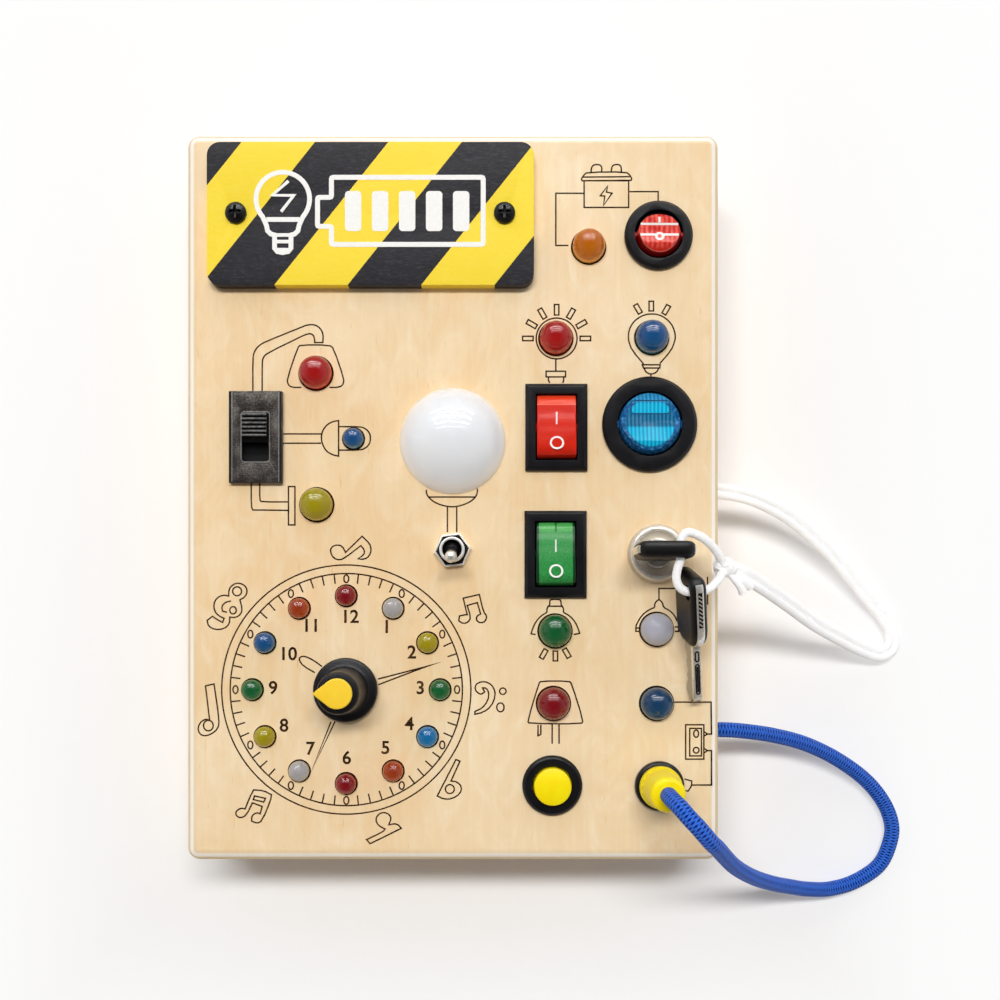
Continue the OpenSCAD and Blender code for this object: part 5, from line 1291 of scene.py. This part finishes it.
# polished rim, and fine concentric tool marks in the darker recess
about = finish.moved(shift=(-LOCK[0] * MM, -LOCK[1] * MM, 0))
z = finish.parts()[2]
rings = finish.add("TexWave", {"Vector": about, "Scale": 1500, "Distortion": 0.6, "Detail": 2},
                   wave_type="RINGS", rings_direction="Z")[1]
haze = finish.noise(800, 4)
low = finish.span(z, (FACE + 2.4) * MM, (FACE + 1.7) * MM)
bright = finish.ramp(haze, (0.3, "e4dfd4"), (0.7, "fffbf3"))
dull = finish.ramp(rings, (0.2, "a89f90"), (0.8, "ede3d2"))
colour = finish.mix(low, bright, dull)
rough = finish.span(low, 0, 1, 0.22, 0.62)
bump = finish.bump(rings, 0.25, 0.00004)
lock_metal = finish.skin(colour, rough, bump, metal=0.5)
softened("lock_body", "lock_head", "root", "nickel", lock_metal, 0.22, 3)
softened("lock_cylinder", "lock_core_piece", "lock_core", "steel", lock_metal, 0.14)
bow_black = moulded("black satin bow", "070708", "0f0f11", 0.4, 0.3)
softened("key_blade", "key_shank", "key", "steel", brushed_steel, 0, 2, 12)
softened("spare_key_blade", "spare_key_shank", "spare_key", "steel", brushed_steel, 0, 2, 12)
LOCK_TOP = 39.2
IN_LOCK = at(*LOCK, LOCK_TOP)
TAG = at(58.1, -35.914, 44.061) @ (turn(5.4, "Z") @ turn(-70, "X") @ turn(-81, "Z"))
BOW_W, BOW_L, BOW_T = 13.5, 18, 4
BOW_HOLE_R = 1.9
BOW_HOLE = (3.4, 14.2)


def pick(piece, kind, test):
    """In edit mode, selects the points or edges whose middle, in mm, passes a test."""
    bpy.ops.mesh.select_mode(type=kind)
    bpy.ops.mesh.select_all(action="DESELECT")
    bpy.ops.object.mode_set(mode="OBJECT")
    mesh = piece.data
    for part in mesh.vertices if kind == "VERT" else mesh.edges:
        ends = [part.index] if kind == "VERT" else list(part.vertices)
        part.select = test(sum((mesh.vertices[i].co for i in ends), Vector()) / len(ends) / MM)
    bpy.ops.object.mode_set(mode="EDIT")


def key_bow(name, node, body, place_of_key):
    """Models a bow lying flat, blade end at y = 0, drills its cord hole and sets it on its key."""
    drill = begin(bpy.ops.mesh.primitive_cylinder_add, "drill", vertices=32,
                  radius=BOW_HOLE_R * MM, depth=12 * MM,
                  location=(BOW_HOLE[0] * MM, BOW_HOLE[1] * MM, 0))
    bow = begin(bpy.ops.mesh.primitive_plane_add, name, size=MM, location=(0, 0, 0))
    bow.data.transform(at(0, BOW_L / 2, -BOW_T / 2) @ Matrix.Diagonal((BOW_W, BOW_L, 1, 1)))
    bpy.ops.object.mode_set(mode="EDIT")
    pick(bow, "VERT", lambda p: p.y > 1)
    bpy.ops.mesh.bevel(offset=2.8 * MM, segments=8, affect="VERTICES")
    pick(bow, "VERT", lambda p: p.y < 1)
    bpy.ops.mesh.bevel(offset=5.2 * MM, segments=12, affect="VERTICES")
    bpy.ops.mesh.select_all(action="SELECT")
    bpy.ops.mesh.extrude_region_move(TRANSFORM_OT_translate={"value": (0, 0, BOW_T * MM)})
    pick(bow, "EDGE", lambda p: abs(p.z) > BOW_T / 2 - 0.1)
    bpy.ops.mesh.bevel(offset=1.6 * MM, segments=6, affect="EDGES")
    bpy.ops.object.mode_set(mode="OBJECT")
    faced_out()
    drilled = bow.modifiers.new("cord hole", "BOOLEAN")
    drilled.object = drill
    drilled.operation = "DIFFERENCE"
    drilled.solver = "EXACT"
    bpy.ops.object.modifier_apply(modifier=drilled.name)
    bpy.data.objects.remove(drill)
    only(bow)
    bpy.ops.object.shade_smooth_by_angle(angle=radians(40))
    bow.data.transform(place_of_key @ turn(90, "X"))
    finished(bow, bow_black, body, "black_plastic", node)


# each narrow side of a bow carries a bright strip that runs down to the blade
side_line = (arc(3.95, 15.2, 2.8, 32, 0, 3) + [(6.75, 12), (6.75, 9), (6.75, 6.5)]
             + arc(1.55, 5.2, 5.2, 0, -72, 8))
for body, where in (("key", IN_LOCK), ("spare_key", TAG)):
    key_bow(body + "_bow_shell", body + "_bow", body, where)
    for side, mirror in (("near", 1), ("far", -1)):
        line = [Vector((mirror * (x - 0.06), 0, z)) for x, z in side_line]
        strip = sleeve(f"{body}_strip_{side}", line, 0.26, 0.92, (mirror, 0, 0), 14)
        strip.data.transform(where)
        finished(strip, nickel, body, "steel")

# the spare key shows its strip's black grip field, and the slots milled in its blade, painted
# black as their shade
edge = begin(bpy.ops.mesh.primitive_cube_add, "spare_key_blade_edge", size=MM, location=(0, 0, 0))
edge.data.transform(at(2.05, 0, -6.6) @ Matrix.Diagonal((1.6, 1.94, 15.4, 1)))
bpy.ops.object.mode_set(mode="EDIT")
pick(edge, "EDGE", lambda p: p.z < -14 and p.x > 2.5 and abs(p.y) < 0.5)
bpy.ops.mesh.bevel(offset=1.2 * MM, segments=5, affect="EDGES")
bpy.ops.object.mode_set(mode="OBJECT")
rolled(edge, 0.16, 3, 40)
edge.data.transform(TAG)
finished(edge, nickel, "spare_key", "steel")


def slot_line(low, high, half):
    """Outline of a round-ended slot between two places along the key."""
    return True, arc(high - half, 0, half, -90, 90, 8) + arc(low + half, 0, half, 90, 270, 8)


grip_ribs = [(False, [(z - 0.35, -0.42), (z + 0.35, 0.42)])
             for z in (6.9, 7.9, 8.9, 9.9, 10.9, 11.9, 12.9, 13.9)]
milled_slot_shade = [slot_line(-3.8, -1.3, 0.42), slot_line(-12.3, -4.6, 0.42),
           (False, [(-11.8, 0), (-5.1, 0)])]
for name, paths, width, proud, material, slot, reach in (
        ("spare_key_grip_field", [(False, [(6.2, 0), (14.9, 0)])], 1.05, 0.05, pitch_black,
         "black_plastic", 6.93),
        ("spare_key_grip_ribs", grip_ribs, 0.3, 0.05, nickel, "steel", 6.97),
        ("spare_key_slot_shade", milled_slot_shade, 0.42, 0.04, pitch_black, "steel", 2.85)):
    # drawn flat, then stood up on the key's narrow side, reach mm from its middle
    drawn = strokes(name, paths, width, proud, 0, material, "spare_key", slot)
    drawn.data.transform(TAG @ at(reach, 0, 0) @ turn(-90, "Y") @ turn(180, "X"))

# ---- The jack, its plug and the knob ----
# A black jack with a ring nut, a yellow moulded plug on a steel pin, and the black rotary knob: a
# skirt and a slim waist under the yellow teardrop cap that points to an hour.
softened("jack_socket", "jack_barrel", "root", "black_plastic", bezel_black, 0.15)
softened("jack_nut", "jack_ring", "root", "black_plastic", bezel_black, 0.4, 3)
softened("plug_pin", "plug_tip", "plug", "nickel", nickel, 0.15)
softened("plug_shell", "plug_sleeve", "plug", "yellow_plastic", yellow_plastic, 0.5, 4)

cap_yellow = moulded("warm yellow moulded plastic", "fbcb2e", "fdd63c", 0.36, 0.08)
knob_black = moulded("black moulded phenolic", "0d0d10", "19191d", 0.34, 0.1)
knob_grip = turned("knob_grip", [
    (0, 16), (3, 16), (3, 5.4), (5, 5.4), (5, 0.6), (7.6, 0.6), (7.85, 0.85), (7.9, 1.2),
    (7.9, 2.3), (7.82, 2.62), (7.6, 2.85), (7.2, 3), (6.5, 3.2), (5.95, 3.4), (5.75, 3.62),
    (5.66, 4), (5.6, 5), (5.45, 7), (5.3, 9), (5.18, 12), (5.06, 16.2), (4.95, 16.8),
    (4.7, 17.15), (4.3, 17.3), (0, 17.3)], 96, 30)
placed(knob_grip, *DIAL, knob_black, "knob", "black_plastic", "knob_body")
softened("knob_cap", "knob_pointer", "knob", "yellow_plastic", cap_yellow, 0.35, 4)
dress(brushed_steel, "rotary_shaft")
dress(black_case_and_bore_shade, "rotary_switch")

# ---- Inside and behind the board ----
# Pine glue blocks, zinc wood screws, the battery box with its three cells and its screwed cover,
# and red flexible wires from the box to the switches.
dress(plywood("pine glue block", 2, []), "corner_blocks")
softened("back_screws", "back_fixings", "root", "steel_screw",
         plated("zinc plated screw", "a39f92", "c6c2b4", 0.3, 1100), 0.15)
case_black = moulded("black ribbed battery case", "101012", "1c1c1e", 0.48, 0.35)
dress(case_black, "battery_case")
softened("battery_cover", "battery_door", "root", "case_plastic", case_black, 0.3, 3)
dress(moulded("red wire rubber", "a81616", "c42222", 0.5), "wires")

finish = Finish("printed cell sleeve")
# shrink-wrapped cells in a faintly clouded blue film
colour = finish.ramp(finish.noise(240, 2), (0.3, "1f4f86"), (0.7, "2f69a6"))
dress(finish.skin(colour, 0.3, metal=0.3), "batteries")
